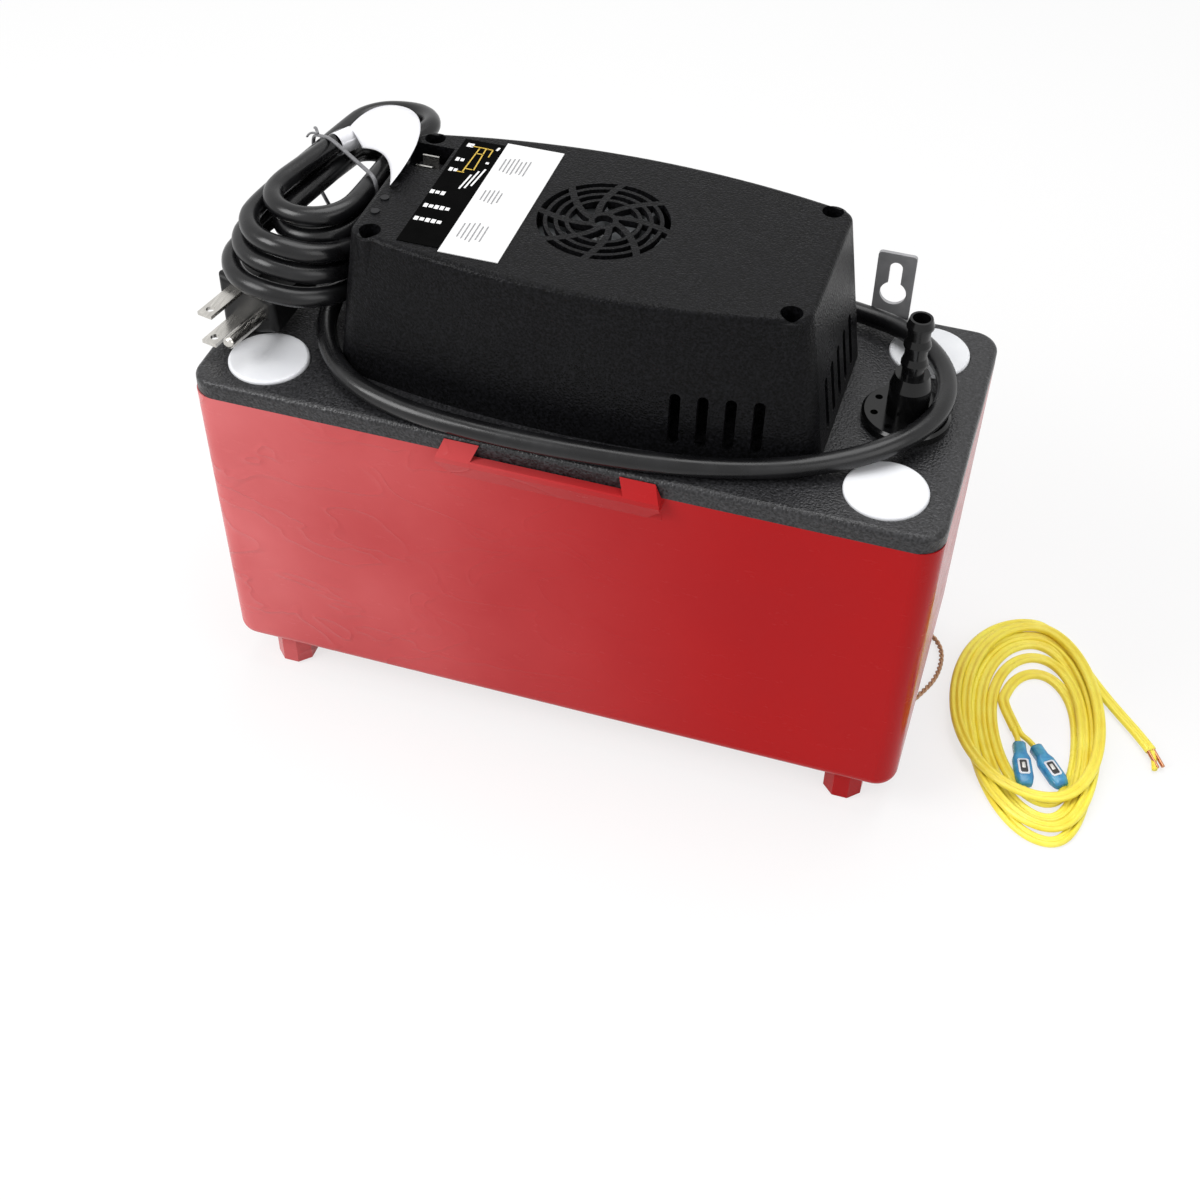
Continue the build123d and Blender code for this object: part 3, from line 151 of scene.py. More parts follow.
# finishes
plainFinishes = {
    # name: colour, darker colour, roughness, blotch scale, grain scale, grain strength, other shader values
    "inletWhite": ((0.85, 0.86, 0.88), (0.77, 0.78, 0.81), 0.42, 60, 900, 0.12, {}),
    "valveBlack": ((0.005, 0.005, 0.0055), (0.003, 0.003, 0.003), 0.17, 120, 1500, 0.05, {"IOR": 1.4}),
    "plugRubber": ((0.006, 0.006, 0.0065), (0.004, 0.004, 0.004), 0.36, 140, 2600, 0.25, {"IOR": 1.3}),
    "bracketPaint": ((0.46, 0.46, 0.47), (0.32, 0.32, 0.33), 0.36, 90, 1700, 0.35, {"Metallic": 0.3}),
    "screwBlack": ((0.03, 0.03, 0.032), (0.015, 0.015, 0.016), 0.35, 400, 3000, 0.2, {"Metallic": 0.6}),
    "zincSteel": ((0.62, 0.62, 0.60), (0.45, 0.44, 0.42), 0.34, 300, 1400, 0.2, {"Metallic": 1.0}),
    "motorAlloy": ((0.52, 0.53, 0.54), (0.36, 0.36, 0.37), 0.48, 110, 1200, 0.6, {"Metallic": 1.0}),
    "bearingBronze": ((0.50, 0.32, 0.13), (0.34, 0.20, 0.08), 0.36, 200, 1800, 0.3, {"Metallic": 1.0}),
    "pumpGrey": ((0.20, 0.21, 0.22), (0.15, 0.155, 0.16), 0.44, 80, 1300, 0.18, {}),
    "switchBlack": ((0.022, 0.022, 0.024), (0.012, 0.012, 0.013), 0.30, 200, 2000, 0.1, {}),
    "switchRed": ((0.42, 0.03, 0.03), (0.30, 0.02, 0.02), 0.33, 200, 2000, 0.1, {}),
    "boardGreen": ((0.02, 0.13, 0.05), (0.012, 0.08, 0.03), 0.35, 260, 1500, 0.2, {"Coat Weight": 0.4}),
    "ballRubber": ((0.05, 0.03, 0.025), (0.03, 0.018, 0.015), 0.55, 300, 2500, 0.3, {}),
    "tieGrey": ((0.17, 0.17, 0.18), (0.11, 0.11, 0.115), 0.40, 500, 3500, 0.25, {}),
    "tagWhite": ((0.80, 0.80, 0.82), (0.70, 0.70, 0.73), 0.50, 120, 1600, 0.15, {}),
    "connectorBlue": ((0.10, 0.52, 0.80), (0.04, 0.30, 0.62), 0.18, 300, 2200, 0.1, {"Transmission Weight": 0.45}),
    "windowWhite": ((0.80, 0.84, 0.88), (0.62, 0.72, 0.82), 0.30, 500, 2500, 0.1, {}),
    "lensDark": ((0.014, 0.014, 0.016), (0.008, 0.008, 0.009), 0.30, 200, 900, 0.05, {"IOR": 1.3}),
    "printWhite": ((0.84, 0.84, 0.84), (0.72, 0.72, 0.72), 0.45, 900, 4000, 0.1, {}),
    "printYellow": ((0.62, 0.42, 0.05), (0.50, 0.33, 0.03), 0.45, 900, 4000, 0.1, {}),
    "printGrey": ((0.30, 0.30, 0.31), (0.22, 0.22, 0.23), 0.50, 900, 4000, 0.1, {}),
    "labelBlack": ((0.002, 0.002, 0.002), (0.0015, 0.0015, 0.0015), 0.50, 160, 1800, 0.1, {"IOR": 1.05}),
    "leadYellow": ((0.94, 0.86, 0.11), (0.88, 0.74, 0.06), 0.30, 90, 1800, 0.12, {}),
    "tieTan": ((0.62, 0.38, 0.22), (0.45, 0.26, 0.14), 0.45, 300, 2500, 0.2, {}),
}


def plainFinish(name):
    # colour drifts between two tones in soft blotches, the gloss drifts with them, and a fine grain lifts the surface
    colour, darker, roughness, blotch, grain, strength, shader = plainFinishes[name]
    finish = Finish(name, colour, roughness)
    for socket, value in shader.items():
        finish.shader.inputs[socket].default_value = value
    cloud = finish.noise(blotch, 4.0, 0.55)
    finish.colour(finish.blend(finish.band(cloud, 0.35, 0.68), darker, colour))
    finish.roughness(finish.band(cloud, 0.3, 0.7, roughness + 0.07, roughness - 0.05))
    finish.bump(finish.noise(grain, 2.0), strength)
    return finish.material


sparkFinishes = {
    # moulded black plastic with a spark-eroded texture: tone of pits and of lands, gloss, grain size, depth, index
    "lidBlack": ((0.005, 0.005, 0.0055), (0.036, 0.036, 0.039), 0.34, 1250, 0.8, 1.40),
    "coverBlack": ((0.002, 0.002, 0.002), (0.009, 0.009, 0.0105), 0.32, 1350, 0.8, 1.17),
}


def sparkFinish(name):
    # small rounded cells: their edges are the pits, and a slower cloud makes some patches duller
    pit, land, roughness, grain, depth, index = sparkFinishes[name]
    finish = Finish(name, land, roughness, IOR=index)
    cells = finish.add("ShaderNodeTexVoronoi", {
        "Vector": finish.place, "Scale": grain, "Randomness": 1.0,
    }, feature="SMOOTH_F1").outputs["Distance"]
    speck = finish.noise(grain * 0.6, 3.0, 0.6)
    cloud = finish.noise(38, 4.0, 0.5)
    mottle = finish.math("ADD", finish.math("MULTIPLY", cells, 0.5), finish.math("MULTIPLY", speck, 0.7))
    finish.colour(finish.blend(finish.band(mottle, 0.42, 0.76), pit, land))
    finish.roughness(finish.band(finish.math("ADD", cloud, finish.math("MULTIPLY", speck, 0.4)), 0.45, 0.9,
                                 roughness + 0.10, roughness - 0.08))
    finish.bump(cells, depth, 0.00028)
    finish.bump(speck, depth * 0.6, 0.0003)
    return finish.material


tankRed = {
    "colour": (0.39, 0.005, 0.006),
    "deep": (0.36, 0.006, 0.008),
    "paintedReflection": (0.70, 0.20, 0.205),      # painted reflection of a soft lamp, which makes the tank paler towards the left end
    "roughness": 0.20,
    "index": 1.19,
    "reflectionAndRipples": (-0.150, 0.085),      # x from and to, over which the painted reflection and the ripples fade out
    "fade": 1.7,                      # power of that fade
    "reflectionShare": (0.50, 0.95),        # least and most of the painted reflection in the clouds of the left end
    "rippleScale": 20,
    "rippleHalfWidth": 0.06,          # of a crest, in the noise's own 0 to 1
    "scuffScale": 90,
}


def tankFinish(look):
    # glossy polypropylene: deep red, with a painted reflection that makes it paler at the left, shallow ripples there
    # and fine scuffs all over
    finish = Finish("tankRed", look["colour"], look["roughness"], IOR=look["index"])
    across = finish.add("ShaderNodeSeparateXYZ", {"Vector": finish.place}).outputs["X"]
    left = finish.math("POWER", finish.band(across, *look["reflectionAndRipples"], 1.0, 0.0), look["fade"])
    cloud = finish.noise(14, 4.0, 0.5)
    base = finish.blend(finish.band(cloud, 0.35, 0.7), look["deep"], look["colour"])
    # painted reflection: towards the left end the red is lifted to a pale pink, as a lamp's reflection would lift it
    pale = finish.math("MULTIPLY", left, finish.band(cloud, 0.30, 0.75, *look["reflectionShare"]))
    finish.colour(finish.blend(pale, base, look["paintedReflection"]))
    scuffs = finish.noise(look["scuffScale"], 6.0, 0.7, finish.stretched((1.0, 1.0, 3.0)))
    finish.roughness(finish.band(scuffs, 0.35, 0.75, look["roughness"] - 0.04, look["roughness"] + 0.12))
    ripple = finish.noise(look["rippleScale"], 2.0, 0.4, finish.stretched((1.0, 1.0, 1.8)), 1.4)
    offCrest = finish.math("ABSOLUTE", finish.math("SUBTRACT", ripple, 0.5))
    crest = finish.math("POWER", finish.band(offCrest, 0.0, look["rippleHalfWidth"], 1.0, 0.0), 2.0)
    finish.bump(finish.math("MULTIPLY", crest, left), 0.35, 0.0015)
    finish.bump(finish.noise(7, 2.0), 0.25, 0.004)
    finish.bump(finish.noise(700, 2.0), 0.04)
    return finish.material


def brushedFinish(name, colour, roughness, stretch, scale=900):
    # drawn or brushed metal: a grain pulled out along one axis breaks up the gloss
    finish = Finish(name, colour, roughness, Metallic=1.0)
    grain = finish.noise(scale, 4.0, 0.6, finish.stretched(stretch))
    finish.colour(finish.blend(finish.band(grain, 0.3, 0.7), tuple(0.72 * c for c in colour), colour))
    finish.roughness(finish.band(grain, 0.3, 0.7, roughness - 0.06, roughness + 0.12))
    finish.bump(grain, 0.2, 0.00006)
    return finish.material


def laminatedFinish():
    # stacked core sheets: a thin dark gap every 0.6 mm up the stack, and a little rust on their edges
    finish = Finish("coreSteel", (0.30, 0.29, 0.28), 0.45, Metallic=0.9)
    height = finish.add("ShaderNodeSeparateXYZ", {"Vector": finish.place}).outputs["Z"]
    sheet = finish.math("PINGPONG", height, 0.0003)
    gap = finish.band(sheet, 0.0, 0.00008, 1.0, 0.0)
    rust = finish.band(finish.noise(160, 5.0, 0.6), 0.52, 0.72)
    steel = finish.blend(rust, (0.30, 0.29, 0.28), (0.16, 0.08, 0.045))
    finish.colour(finish.blend(gap, steel, (0.03, 0.025, 0.02)))
    finish.roughness(finish.band(rust, 0.0, 1.0, 0.38, 0.7))
    finish.bump(gap, -0.5, 0.0001)
    return finish.material


def woundFinish():
    # enamelled copper wire: fine rounded rows with painted shade in the grooves between them, glossy where the varnish
    # pooled
    finish = Finish("windingCopper", (0.55, 0.20, 0.08), 0.25, Metallic=0.8, Coat_Weight=0.5)
    rows = finish.add("ShaderNodeTexWave", {
        "Vector": finish.place, "Scale": 420.0, "Distortion": 0.6, "Detail": 1.0,
    }, wave_type="BANDS", bands_direction="Z", wave_profile="SIN").outputs["Fac"]
    # painted shade: each row is dark in its groove and bright on its crest, following the bump
    finish.colour(finish.blend(finish.band(rows, 0.0, 0.8), (0.22, 0.06, 0.02), (0.58, 0.22, 0.09)))
    finish.roughness(finish.band(finish.noise(120), 0.3, 0.7, 0.18, 0.38))
    finish.bump(rows, 0.6, 0.0002)
    return finish.material


def cordFinish():
    # thermoplastic jacket: satin black, lightly dusty in patches, with a faint ripple along it
    finish = Finish("cordRubber", (0.005, 0.005, 0.006), 0.24, IOR=1.42)
    dust = finish.noise(70, 5.0, 0.6)
    finish.colour(finish.blend(finish.band(dust, 0.45, 0.75), (0.004, 0.004, 0.0045), (0.010, 0.010, 0.011)))
    finish.roughness(finish.band(dust, 0.35, 0.75, 0.21, 0.38))
    finish.bump(finish.noise(150, 2.0), 0.12, 0.0006)
    finish.bump(finish.noise(2200, 2.0), 0.12, 0.0001)
    return finish.material


def ratingFinish():
    # plain white vinyl label: smooth, with a few faint scuffs
    finish = Finish("ratingWhite", (0.86, 0.86, 0.85), 0.34)
    scuff = finish.noise(50, 6.0, 0.65, finish.stretched((4.0, 1.0, 1.0)))
    finish.colour(finish.blend(finish.band(scuff, 0.55, 0.8), (0.74, 0.74, 0.74), (0.66, 0.66, 0.66)))
    finish.roughness(finish.band(scuff, 0.4, 0.8, 0.30, 0.50))
    finish.bump(finish.noise(60, 3.0), 0.06, 0.0006)
    return finish.material


looks = {name: plainFinish(name) for name in plainFinishes}
looks.update({name: sparkFinish(name) for name in sparkFinishes})
looks.update({
    "tankRed": tankFinish(tankRed),
    "bladeNickel": brushedFinish("bladeNickel", (0.66, 0.64, 0.60), 0.22, (1.0, 0.12, 1.0)),
    "shaftSteel": brushedFinish("shaftSteel", (0.60, 0.60, 0.61), 0.20, (1.0, 1.0, 6.0), 700),
    "tabTin": brushedFinish("tabTin", (0.62, 0.61, 0.58), 0.28, (1.0, 0.2, 1.0), 1200),
    "bareCopper": brushedFinish("bareCopper", (0.70, 0.34, 0.18), 0.25, (1.0, 0.15, 1.0), 2500),
    "coreSteel": laminatedFinish(),
    "windingCopper": woundFinish(),
    "cordRubber": cordFinish(),
    "ratingWhite": ratingFinish(),
})

nodeFinishes = {
    "tankRed": ["tank"],
    "lidBlack": ["lid"],
    "coverBlack": ["motor_cover", "cord_gland"],
    "inletWhite": ["inlet_plugs"],
    "valveBlack": ["check_valve", "discharge_pipe"],
    "plugRubber": ["plug_body"],
    "bracketPaint": ["wall_brackets"],
    "screwBlack": ["cover_screws"],
    "zincSteel": ["bracket_screws", "motor_bolts", "switch_bracket", "switch_lever"],
    "motorAlloy": ["upper_bearing_bracket", "lower_bearing_bracket", "rotor"],
    "bearingBronze": ["bearings"],
    "pumpGrey": ["volute", "pump_column", "strainer", "impeller", "cooling_fan", "pump_float"],
    "switchBlack": ["float_switches", "terminal_block"],
    "switchRed": ["switch_plungers"],
    "boardGreen": ["circuit_board"],
    "ballRubber": ["valve_ball"],
    "lensDark": ["status_lights"],
    "labelBlack": ["control_label"],
    "ratingWhite": ["rating_label"],
    "bladeNickel": ["plug_blades", "plug_ground_pin"],
    "shaftSteel": ["motor_shaft", "lever_pin", "float_rod"],
    "tabTin": ["alarm_terminals"],
    "bareCopper": ["stripped_ends"],
    "coreSteel": ["stator_stack"],
    "windingCopper": ["stator_windings"],
}
for look, names in nodeFinishes.items():
    for name in names:
        nodes[name].data.materials.clear()
        nodes[name].data.materials.append(looks[look])
print("finishes made:", len(looks))


# helpers for new pieces
cordStep, leadStep, coreStep, fineStep = 0.002, 0.0016, 0.0006, 0.0005    # metres between the stations of a swept line


def meshPiece(name, spots, faces, body, look, slot, smooth=True):
    # spots is an (n, 3) array in metres, faces a list of index arrays; the piece rides on a body
    mesh = bpy.data.meshes.new(name)
    mesh.from_pydata(np.asarray(spots, float).tolist(), [], [face.tolist() for part in faces for face in part])
    mesh.update()
    mesh.polygons.foreach_set("use_smooth", np.full(len(mesh.polygons), smooth))
    mesh.materials.append(looks[look])
    piece = bpy.data.objects.new(name, mesh)
    bpy.context.scene.collection.objects.link(piece)
    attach(piece, body)
    return piece


def gridFaces(rows, columns, closeRows=False, closeColumns=False, first=0):
    # four-sided faces over a rows x columns grid of points, wrapped round where it closes
    row = np.arange(rows if closeRows else rows - 1)[:, None]
    column = np.arange(columns if closeColumns else columns - 1)[None, :]
    below, beside = (row + 1) % rows, (column + 1) % columns
    corners = [row * columns + column, row * columns + beside, below * columns + beside, below * columns + column]
    return np.stack([np.broadcast_to(c, (row.size, column.size)) for c in corners], -1).reshape(-1, 4) + first


def endCaps(rows, columns):
    # one many-sided face closes each end of a tube made as a grid with closed columns
    ring = np.arange(columns)
    return [ring[::-1][None, :], (ring + (rows - 1) * columns)[None, :]]


def splineCurve(name, route, thickness=0.0):
    # one smooth open line whose control points are the route, in metres
    curve = bpy.data.curves.new(name, "CURVE")
    curve.dimensions = "3D"
    curve.resolution_u = 8
    spline = curve.splines.new("NURBS")
    spline.points.add(len(route) - 1)
    spline.points.foreach_set("co", np.column_stack([route, np.ones(len(route))]).ravel())
    spline.order_u = 3
    spline.use_endpoint_u = True
    curve.bevel_depth = thickness
    curve.bevel_resolution = 7
    curve.use_fill_caps = True
    curve.twist_mode = "MINIMUM"
    return bpy.data.objects.new(name, curve)


def runLengths(line):
    # the way run from the start to each point of a line
    return np.concatenate([[0], np.cumsum(np.linalg.norm(np.diff(line, axis=0), axis=1))])


def smoothLine(route, spacing):
    # the spline's own points, then evenly spaced along it
    guide = splineCurve("guide", route)
    line = bpy.data.meshes.new_from_object(guide)
    spots = np.empty(len(line.vertices) * 3)
    line.vertices.foreach_get("co", spots)
    spots = spots.reshape(-1, 3)
    bpy.data.objects.remove(guide)
    bpy.data.meshes.remove(line)
    along = runLengths(spots)
    stations = np.linspace(0, along[-1], max(8, int(along[-1] / spacing)))
    return np.column_stack([np.interp(stations, along, spots[:, axis]) for axis in range(3)])


def directions(line):
    # unit tangents of a line of points
    tangent = np.gradient(line, axis=0)
    return tangent / np.linalg.norm(tangent, axis=1, keepdims=True)


def crossAxes(line):
    # at each point: side = run x straight up, made a unit, so it lies level; above = side x run
    tangent = directions(line)
    side = np.cross(tangent, [0, 0, 1.0])
    side /= np.linalg.norm(side, axis=1, keepdims=True)
    return side, np.cross(side, tangent)


def sweep(line, profile):
    # carries a closed (m, 2) profile along the line: point + side * first value + above * second value
    side, above = crossAxes(line)
    rings = (line[:, None, :] + side[:, None, :] * profile[None, :, :1]
             + above[:, None, :] * profile[None, :, 1:])
    return rings.reshape(-1, 3)


def ovalProfile(halfWidth, halfHeight, count):
    # an ellipse: half width times cosine across, half height times sine up
    angle = np.linspace(0, 2 * np.pi, count, endpoint=False)
    return np.column_stack([halfWidth * np.cos(angle), halfHeight * np.sin(angle)])


def roundProfile(radius, count=14):
    # an ellipse of equal halves
    return ovalProfile(radius, radius, count)


def squarish(wave, power):
    # sign(w) |w|^power pushes a cosine or sine out, so that a circle becomes a rounded rectangle
    return np.sign(wave) * np.abs(wave) ** power


def tubePiece(name, line, profile, body, look, slot):
    # the profile carried along the line, with a face over each end
    faces = [gridFaces(len(line), len(profile), closeColumns=True)] + endCaps(len(line), len(profile))
    return meshPiece(name, sweep(line, profile), faces, body, look, slot)


# mains cord: out of the gland, round the cover, up into the hank, and out of it to the plug
mainsCord = {
    "diameter": 7.6,
    "run": [
        (33, 54.5, 160), (60, 54.3, 158.4), (85, 51.4, 158.6), (109, 43, 160), (126, 23.5, 161.2),
        (129.4, -1.5, 161.8), (117.4, -25, 161.2), (94.5, -39.8, 158), (69.5, -50, 157.2), (40, -56.8, 157.2),
        (8, -59.6, 157.2), (-25, -60.4, 157.2), (-59, -57.4, 157.2), (-84.7, -47.7, 157.6),
        (-100.4, -27.5, 160.5), (-101.6, -12, 166), (-101.0, 2, 173.5), (-99.0, 15, 181.5), (-94.6, 26.5, 187),
    ],
    # each turn is a belt round two rolls, seen from above: front roll x, y, radius; rear roll x, y, radius;
    # heights at its rear, left, front and right; then points of its right run
    "turns": [
        ((-107.0, -6.0, 14.0), (-102.0, 37.5, 11.0), (190.5, 195.0, 196.0, 197.0), []),
        ((-108.6, -4.5, 15.6), (-103.6, 27.5, 12.0), (203.6, 204.6, 204.6, 204.6), [(-91.6, 35, 203.8)]),
        ((-110.6, -14.0, 19.0), (-102.0, 49.5, 16.0), (200.2, 199.6, 199.6, 192.0),
         [(-92.2, 14, 177.6), (-92.0, 34, 179.5)]),
        ((-112.3, -15.0, 20.5), (-102.5, 49.5, 16.6), (192.0, 192.0, 192.0, 184.4),
         [(-93.2, 14, 170.0), (-93.0, 34, 171.5)]),
        ((-114.0, -18.0, 22.3), (-103.0, 49.5, 17.2), (184.4, 184.4, 184.4, 176.8),
         [(-94.2, 14, 162.4), (-94.0, 34, 163.6)]),
    ],
    "perRoll": 7,            # points over each roll
    "entry": 188.5,          # height at which the run joins the first turn
    "bulge": 1.04,           # the spline runs inside its control points by this much
    "tail": [
        (-87.5, 50, 167.5), (-92.5, 60.5, 170.5), (-102, 65.0, 172.0), (-111.0, 61.5, 171.0),
        (-116.5, 52, 168.8), (-115.6, 40.5, 166.2), (-118.4, 25.7, 165.4),
    ],
}


def rollPoints(roll, angles, bulge):
    # points on an arc: centre + radius * bulge * (cosine, sine)
    x, y, radius = roll
    return np.column_stack([x + radius * bulge * np.cos(angles), y + radius * bulge * np.sin(angles)])


def hankRoute(cord):
    # each turn: half a circle over the rear roll, one point on the left run, half a circle under the front roll,
    # and its own points on the right run; over each half circle the height passes through the turn's heights
    spots, right = [], cord["entry"]
    rearAngles = np.radians(np.linspace(0, 180, cord["perRoll"]))
    frontAngles = np.radians(np.linspace(180, 360, cord["perRoll"]))
    for front, rear, (rearHeight, left, low, nextRight), rightRun in cord["turns"]:
        behind = rollPoints(rear, rearAngles, cord["bulge"])
        ahead = rollPoints(front, frontAngles, cord["bulge"])
        rearRise = np.interp(rearAngles, [0, np.pi / 2, np.pi], [right, rearHeight, left])
        frontRise = np.interp(frontAngles, [np.pi, 1.5 * np.pi, 2 * np.pi], [left, low, nextRight])
        spots.append(np.column_stack([behind, rearRise]))
        spots.append([[*(behind[-1] + ahead[0]) / 2, left]])
        spots.append(np.column_stack([ahead, frontRise]))
        if rightRun:
            spots.append(rightRun)
        right = nextRight
    return np.vstack(spots)


cordRoute = np.vstack([mainsCord["run"], hankRoute(mainsCord), mainsCord["tail"]]) * mm
cord = splineCurve("mainsCord", cordRoute, mainsCord["diameter"] / 2 * mm)
cord.data.materials.append(looks["cordRubber"])
bpy.context.scene.collection.objects.link(cord)
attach(cord, "deck")
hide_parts("power_cord", "power_cord_hank", "power_cord_tail")
cordLength = float(runLengths(smoothLine(cordRoute, cordStep))[-1])
print("mains cord laid:", round(cordLength, 3), "m")


# safety lead: a flat twin lying in five loose turns on the floor
safetyLead = {
    "width": 4.8,
    "thick": 2.6,
    "fork": [(180.9, 2.8, 2.5), (178.2, 7.8, 2.3), (175.6, 12.6, 2.1), (173.6, 17.4, 1.8)],
    "tail": [(201.5, 49.3, 2.0), (212.3, 34.6, 2.6), (221.6, 24.6, 2.2), (229.6, 16.0, 2.4), (235.5, 8.6, 2.5)],
    "centre": (190.0, 12.2),
    "turned": 101.5,         # degrees from +X to the long axis of the turns
    # reach of each turn and its height, where it passes the far end, the right, the near end and the left
    "far": [(26.6, 1.3), (36.3, 1.3), (44.5, 1.3), (49.4, 1.3), (53.0, 3.8), (56.8, 1.6)],
    "right": [(14.8, 1.3), (17.2, 3.8), (19.7, 1.3), (22.1, 3.8), (23.8, 6.3), (26.0, 2.0)],
    "near": [(45.0, 1.3), (53.6, 1.3), (65.3, 1.3), (59.6, 3.8), (46.6, 6.5), (44.0, 6.5)],
    "left": [(16.0, 1.3), (20.6, 1.3), (25.3, 1.3), (30.0, 1.3), (31.8, 3.8), (36.6, 6.3)],
    "perTurn": 16,
    "start": -64.0,          # degrees before the first far end
    "stop": 14.0,            # and after the last
}


def leadTurns(lead):
    # clockwise from above, each quarter turn is a quarter ellipse between its two reaches, long axis * cosine and
    # short axis * sine of the angle, and the heights ease between them by the square of the quarter's own sine
    quarters = []
    for turn in range(len(lead["far"])):
        quarters += [lead["left"][turn], lead["far"][turn], lead["right"][turn], lead["near"][turn]]
    # the list starts at the left, a quarter turn before the first far end: a left belongs to the turn that follows
    reach, level = np.array(quarters).T
    last = 360.0 * (len(lead["far"]) - 1) + lead["stop"]
    angle = np.linspace(lead["start"], last, int((last - lead["start"]) / 360.0 * lead["perTurn"]))
    quarter = np.floor(angle / 90.0).astype(int)
    phi = np.radians(angle)
    share = np.sin(phi - quarter * np.pi / 2)
    at = quarter + 1
    alongReach = np.where(quarter % 2 == 0, reach[at], reach[at + 1])
    acrossReach = np.where(quarter % 2 == 0, reach[at + 1], reach[at])
    height = level[at] + (level[at + 1] - level[at]) * share ** 2
    axis = math.radians(lead["turned"])
    along, across = alongReach * np.cos(phi), acrossReach * np.sin(phi)
    x = lead["centre"][0] + along * math.cos(axis) + across * math.sin(axis)
    y = lead["centre"][1] + along * math.sin(axis) - across * math.cos(axis)
    return np.column_stack([x, y, height])


def twinProfile(width, thick, count=28, groove=0.20):
    # two round cores side by side: half the thickness times sqrt(1 - (|across| / quarter width - 1)^2), and between
    # the cores never less than the groove's share of that half
    angle = np.linspace(0, 2 * np.pi, count, endpoint=False)
    across = np.cos(angle) * width / 2
    lobe = np.sqrt(np.clip(1 - (np.abs(across) / (width / 4) - 1) ** 2, 0, None))
    half = thick / 2 * np.maximum(lobe, groove * (np.abs(across) < width / 4))
    return np.column_stack([across, np.where(np.sin(angle) >= 0, half, -half)])


leadRoute = np.vstack([safetyLead["fork"], leadTurns(safetyLead), safetyLead["tail"]]) * mm
leadLine = smoothLine(leadRoute, leadStep)
lead = tubePiece("safetyLead", leadLine, twinProfile(safetyLead["width"], safetyLead["thick"]) * mm,
                 "base", "leadYellow", "lead_yellow")
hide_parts("safety_lead_coil", "safety_lead_tail", "safety_lead_fork")

leadCores = {
    "diameter": 2.4,
    "axisHeight": 2.5,       # of the forked cores and of the connectors that they enter
    "starts": [(179.9, 3.2, 2.5), (182.0, 3.6, 2.5)],
    "barrels": [((183.4, -4.9), -74.4), ((190.1, -4.6), -52.0)],    # each connector's mouth, and heading in degrees
    "leave": (1.2, -3.0, 0), # a core's first step out of the twin
    "lead": 3.2,             # from this far before the mouth it runs in line
    "sunk": 4.5,             # and it ends this deep inside
    "longCore": [(236.1, 8.2, 2.4), (236.9, 5.6, 2.2), (237.6, 2.6, 2.0), (238.1, -0.6, 1.9)],
}


def headingAim(heading):
    # unit direction on the floor: cosine and sine of the heading in degrees
    return np.array([math.cos(math.radians(heading)), math.sin(math.radians(heading)), 0])


def coreLine(mouth, heading, start):
    # leaves the twin in its own direction and turns into the barrel's: a spline over four points
    start, mouth, aim = np.array(start), np.array([*mouth, leadCores["axisHeight"]]), headingAim(heading)
    bends = [start, start + np.array(leadCores["leave"]),
             mouth - aim * leadCores["lead"], mouth + aim * leadCores["sunk"]]
    return smoothLine(np.array(bends) * mm, coreStep)


coreLines = {f"forkCore{number}": coreLine(mouth, heading, start)
             for number, ((mouth, heading), start) in enumerate(zip(leadCores["barrels"], leadCores["starts"]), 1)}
coreLines["endCore"] = smoothLine(np.array(leadCores["longCore"]) * mm, coreStep)
cores = [tubePiece(name, line, roundProfile(leadCores["diameter"] / 2) * mm, "base", "leadYellow", "lead_yellow")
         for name, line in coreLines.items()]
print("lead cores made")

# twisted wire tie lying under the tank's end
floorTie = {
    "route": [(136.2, 47.6, 1.6), (140.7, 44.2, 1.5), (144.2, 37.5, 1.6), (145.0, 28.5, 1.5),
              (143.7, 20.0, 1.5), (140.4, 12.0, 1.6), (136.9, 5.0, 1.5)],
    "strand": 0.55,
    "pitch": 5.0,            # length of one twist
}


def twistedPair(tie):
    # two strands wind round a common line, half a turn apart
    line = smoothLine(np.array(tie["route"]) * mm, fineStep)
    side, above = crossAxes(line)
    along = runLengths(line)
    phase = 2 * np.pi * along / (tie["pitch"] * mm)
    spots, faces, profile = [], [], roundProfile(tie["strand"] * mm, 8)
    for strand in range(2):
        turn = phase + np.pi * strand
        centre = line + (side * np.cos(turn)[:, None] + above * np.sin(turn)[:, None]) * tie["strand"] * mm
        first = strand * len(line) * len(profile)
        faces.append(gridFaces(len(line), len(profile), closeColumns=True, first=first))
        faces += [cap + first for cap in endCaps(len(line), len(profile))]
        spots.append(sweep(centre, profile))
    return np.vstack(spots), faces


meshPiece("floorTie", *twistedPair(floorTie), "base", "tieTan", "tie_grey")

# grey tie strap round the hank
hankTie = {
    "corners": [(-129.6, 38.0, 179.0), (-127.8, 35.4, 202.4), (-115.4, 24.4, 209.6), (-88.2, 4.2, 209.4),
                (-91.2, 3.6, 158.6)],
    "round": 5.0,            # run on each side of a corner over which it is rounded
    "width": 1.5,
    "thick": 0.9,
    "tailHalves": (0.6, 0.4),  # half width and half thickness of a loose end
    "tails": [[(-124.0, 32.2, 205.2), (-125.6, 34.4, 206.0), (-127.2, 36.6, 205.0), (-128.0, 38.2, 203.4)],
              [(-124.0, 32.2, 205.2), (-126.0, 31.8, 205.6), (-128.0, 32.2, 204.2), (-128.8, 32.6, 202.8)]],
}


def strapLoop(tie, count=160):
    # even points round the closed line of corners, then the mean of each point and its neighbours, which rounds them
    corners = np.array(tie["corners"])
    sides = np.roll(corners, -1, axis=0) - corners
    lengths = np.linalg.norm(sides, axis=1)
    along = np.linspace(0, lengths.sum(), count, endpoint=False)
    edges = np.concatenate([[0], np.cumsum(lengths)])
    closed = np.vstack([corners, corners[:1]])
    sharp = np.column_stack([np.interp(along, edges, closed[:, axis]) for axis in range(3)])
    width = int(count * tie["round"] / lengths.sum())
    return np.mean([np.roll(sharp, shift, axis=0) for shift in range(-width, width + 1)], axis=0)


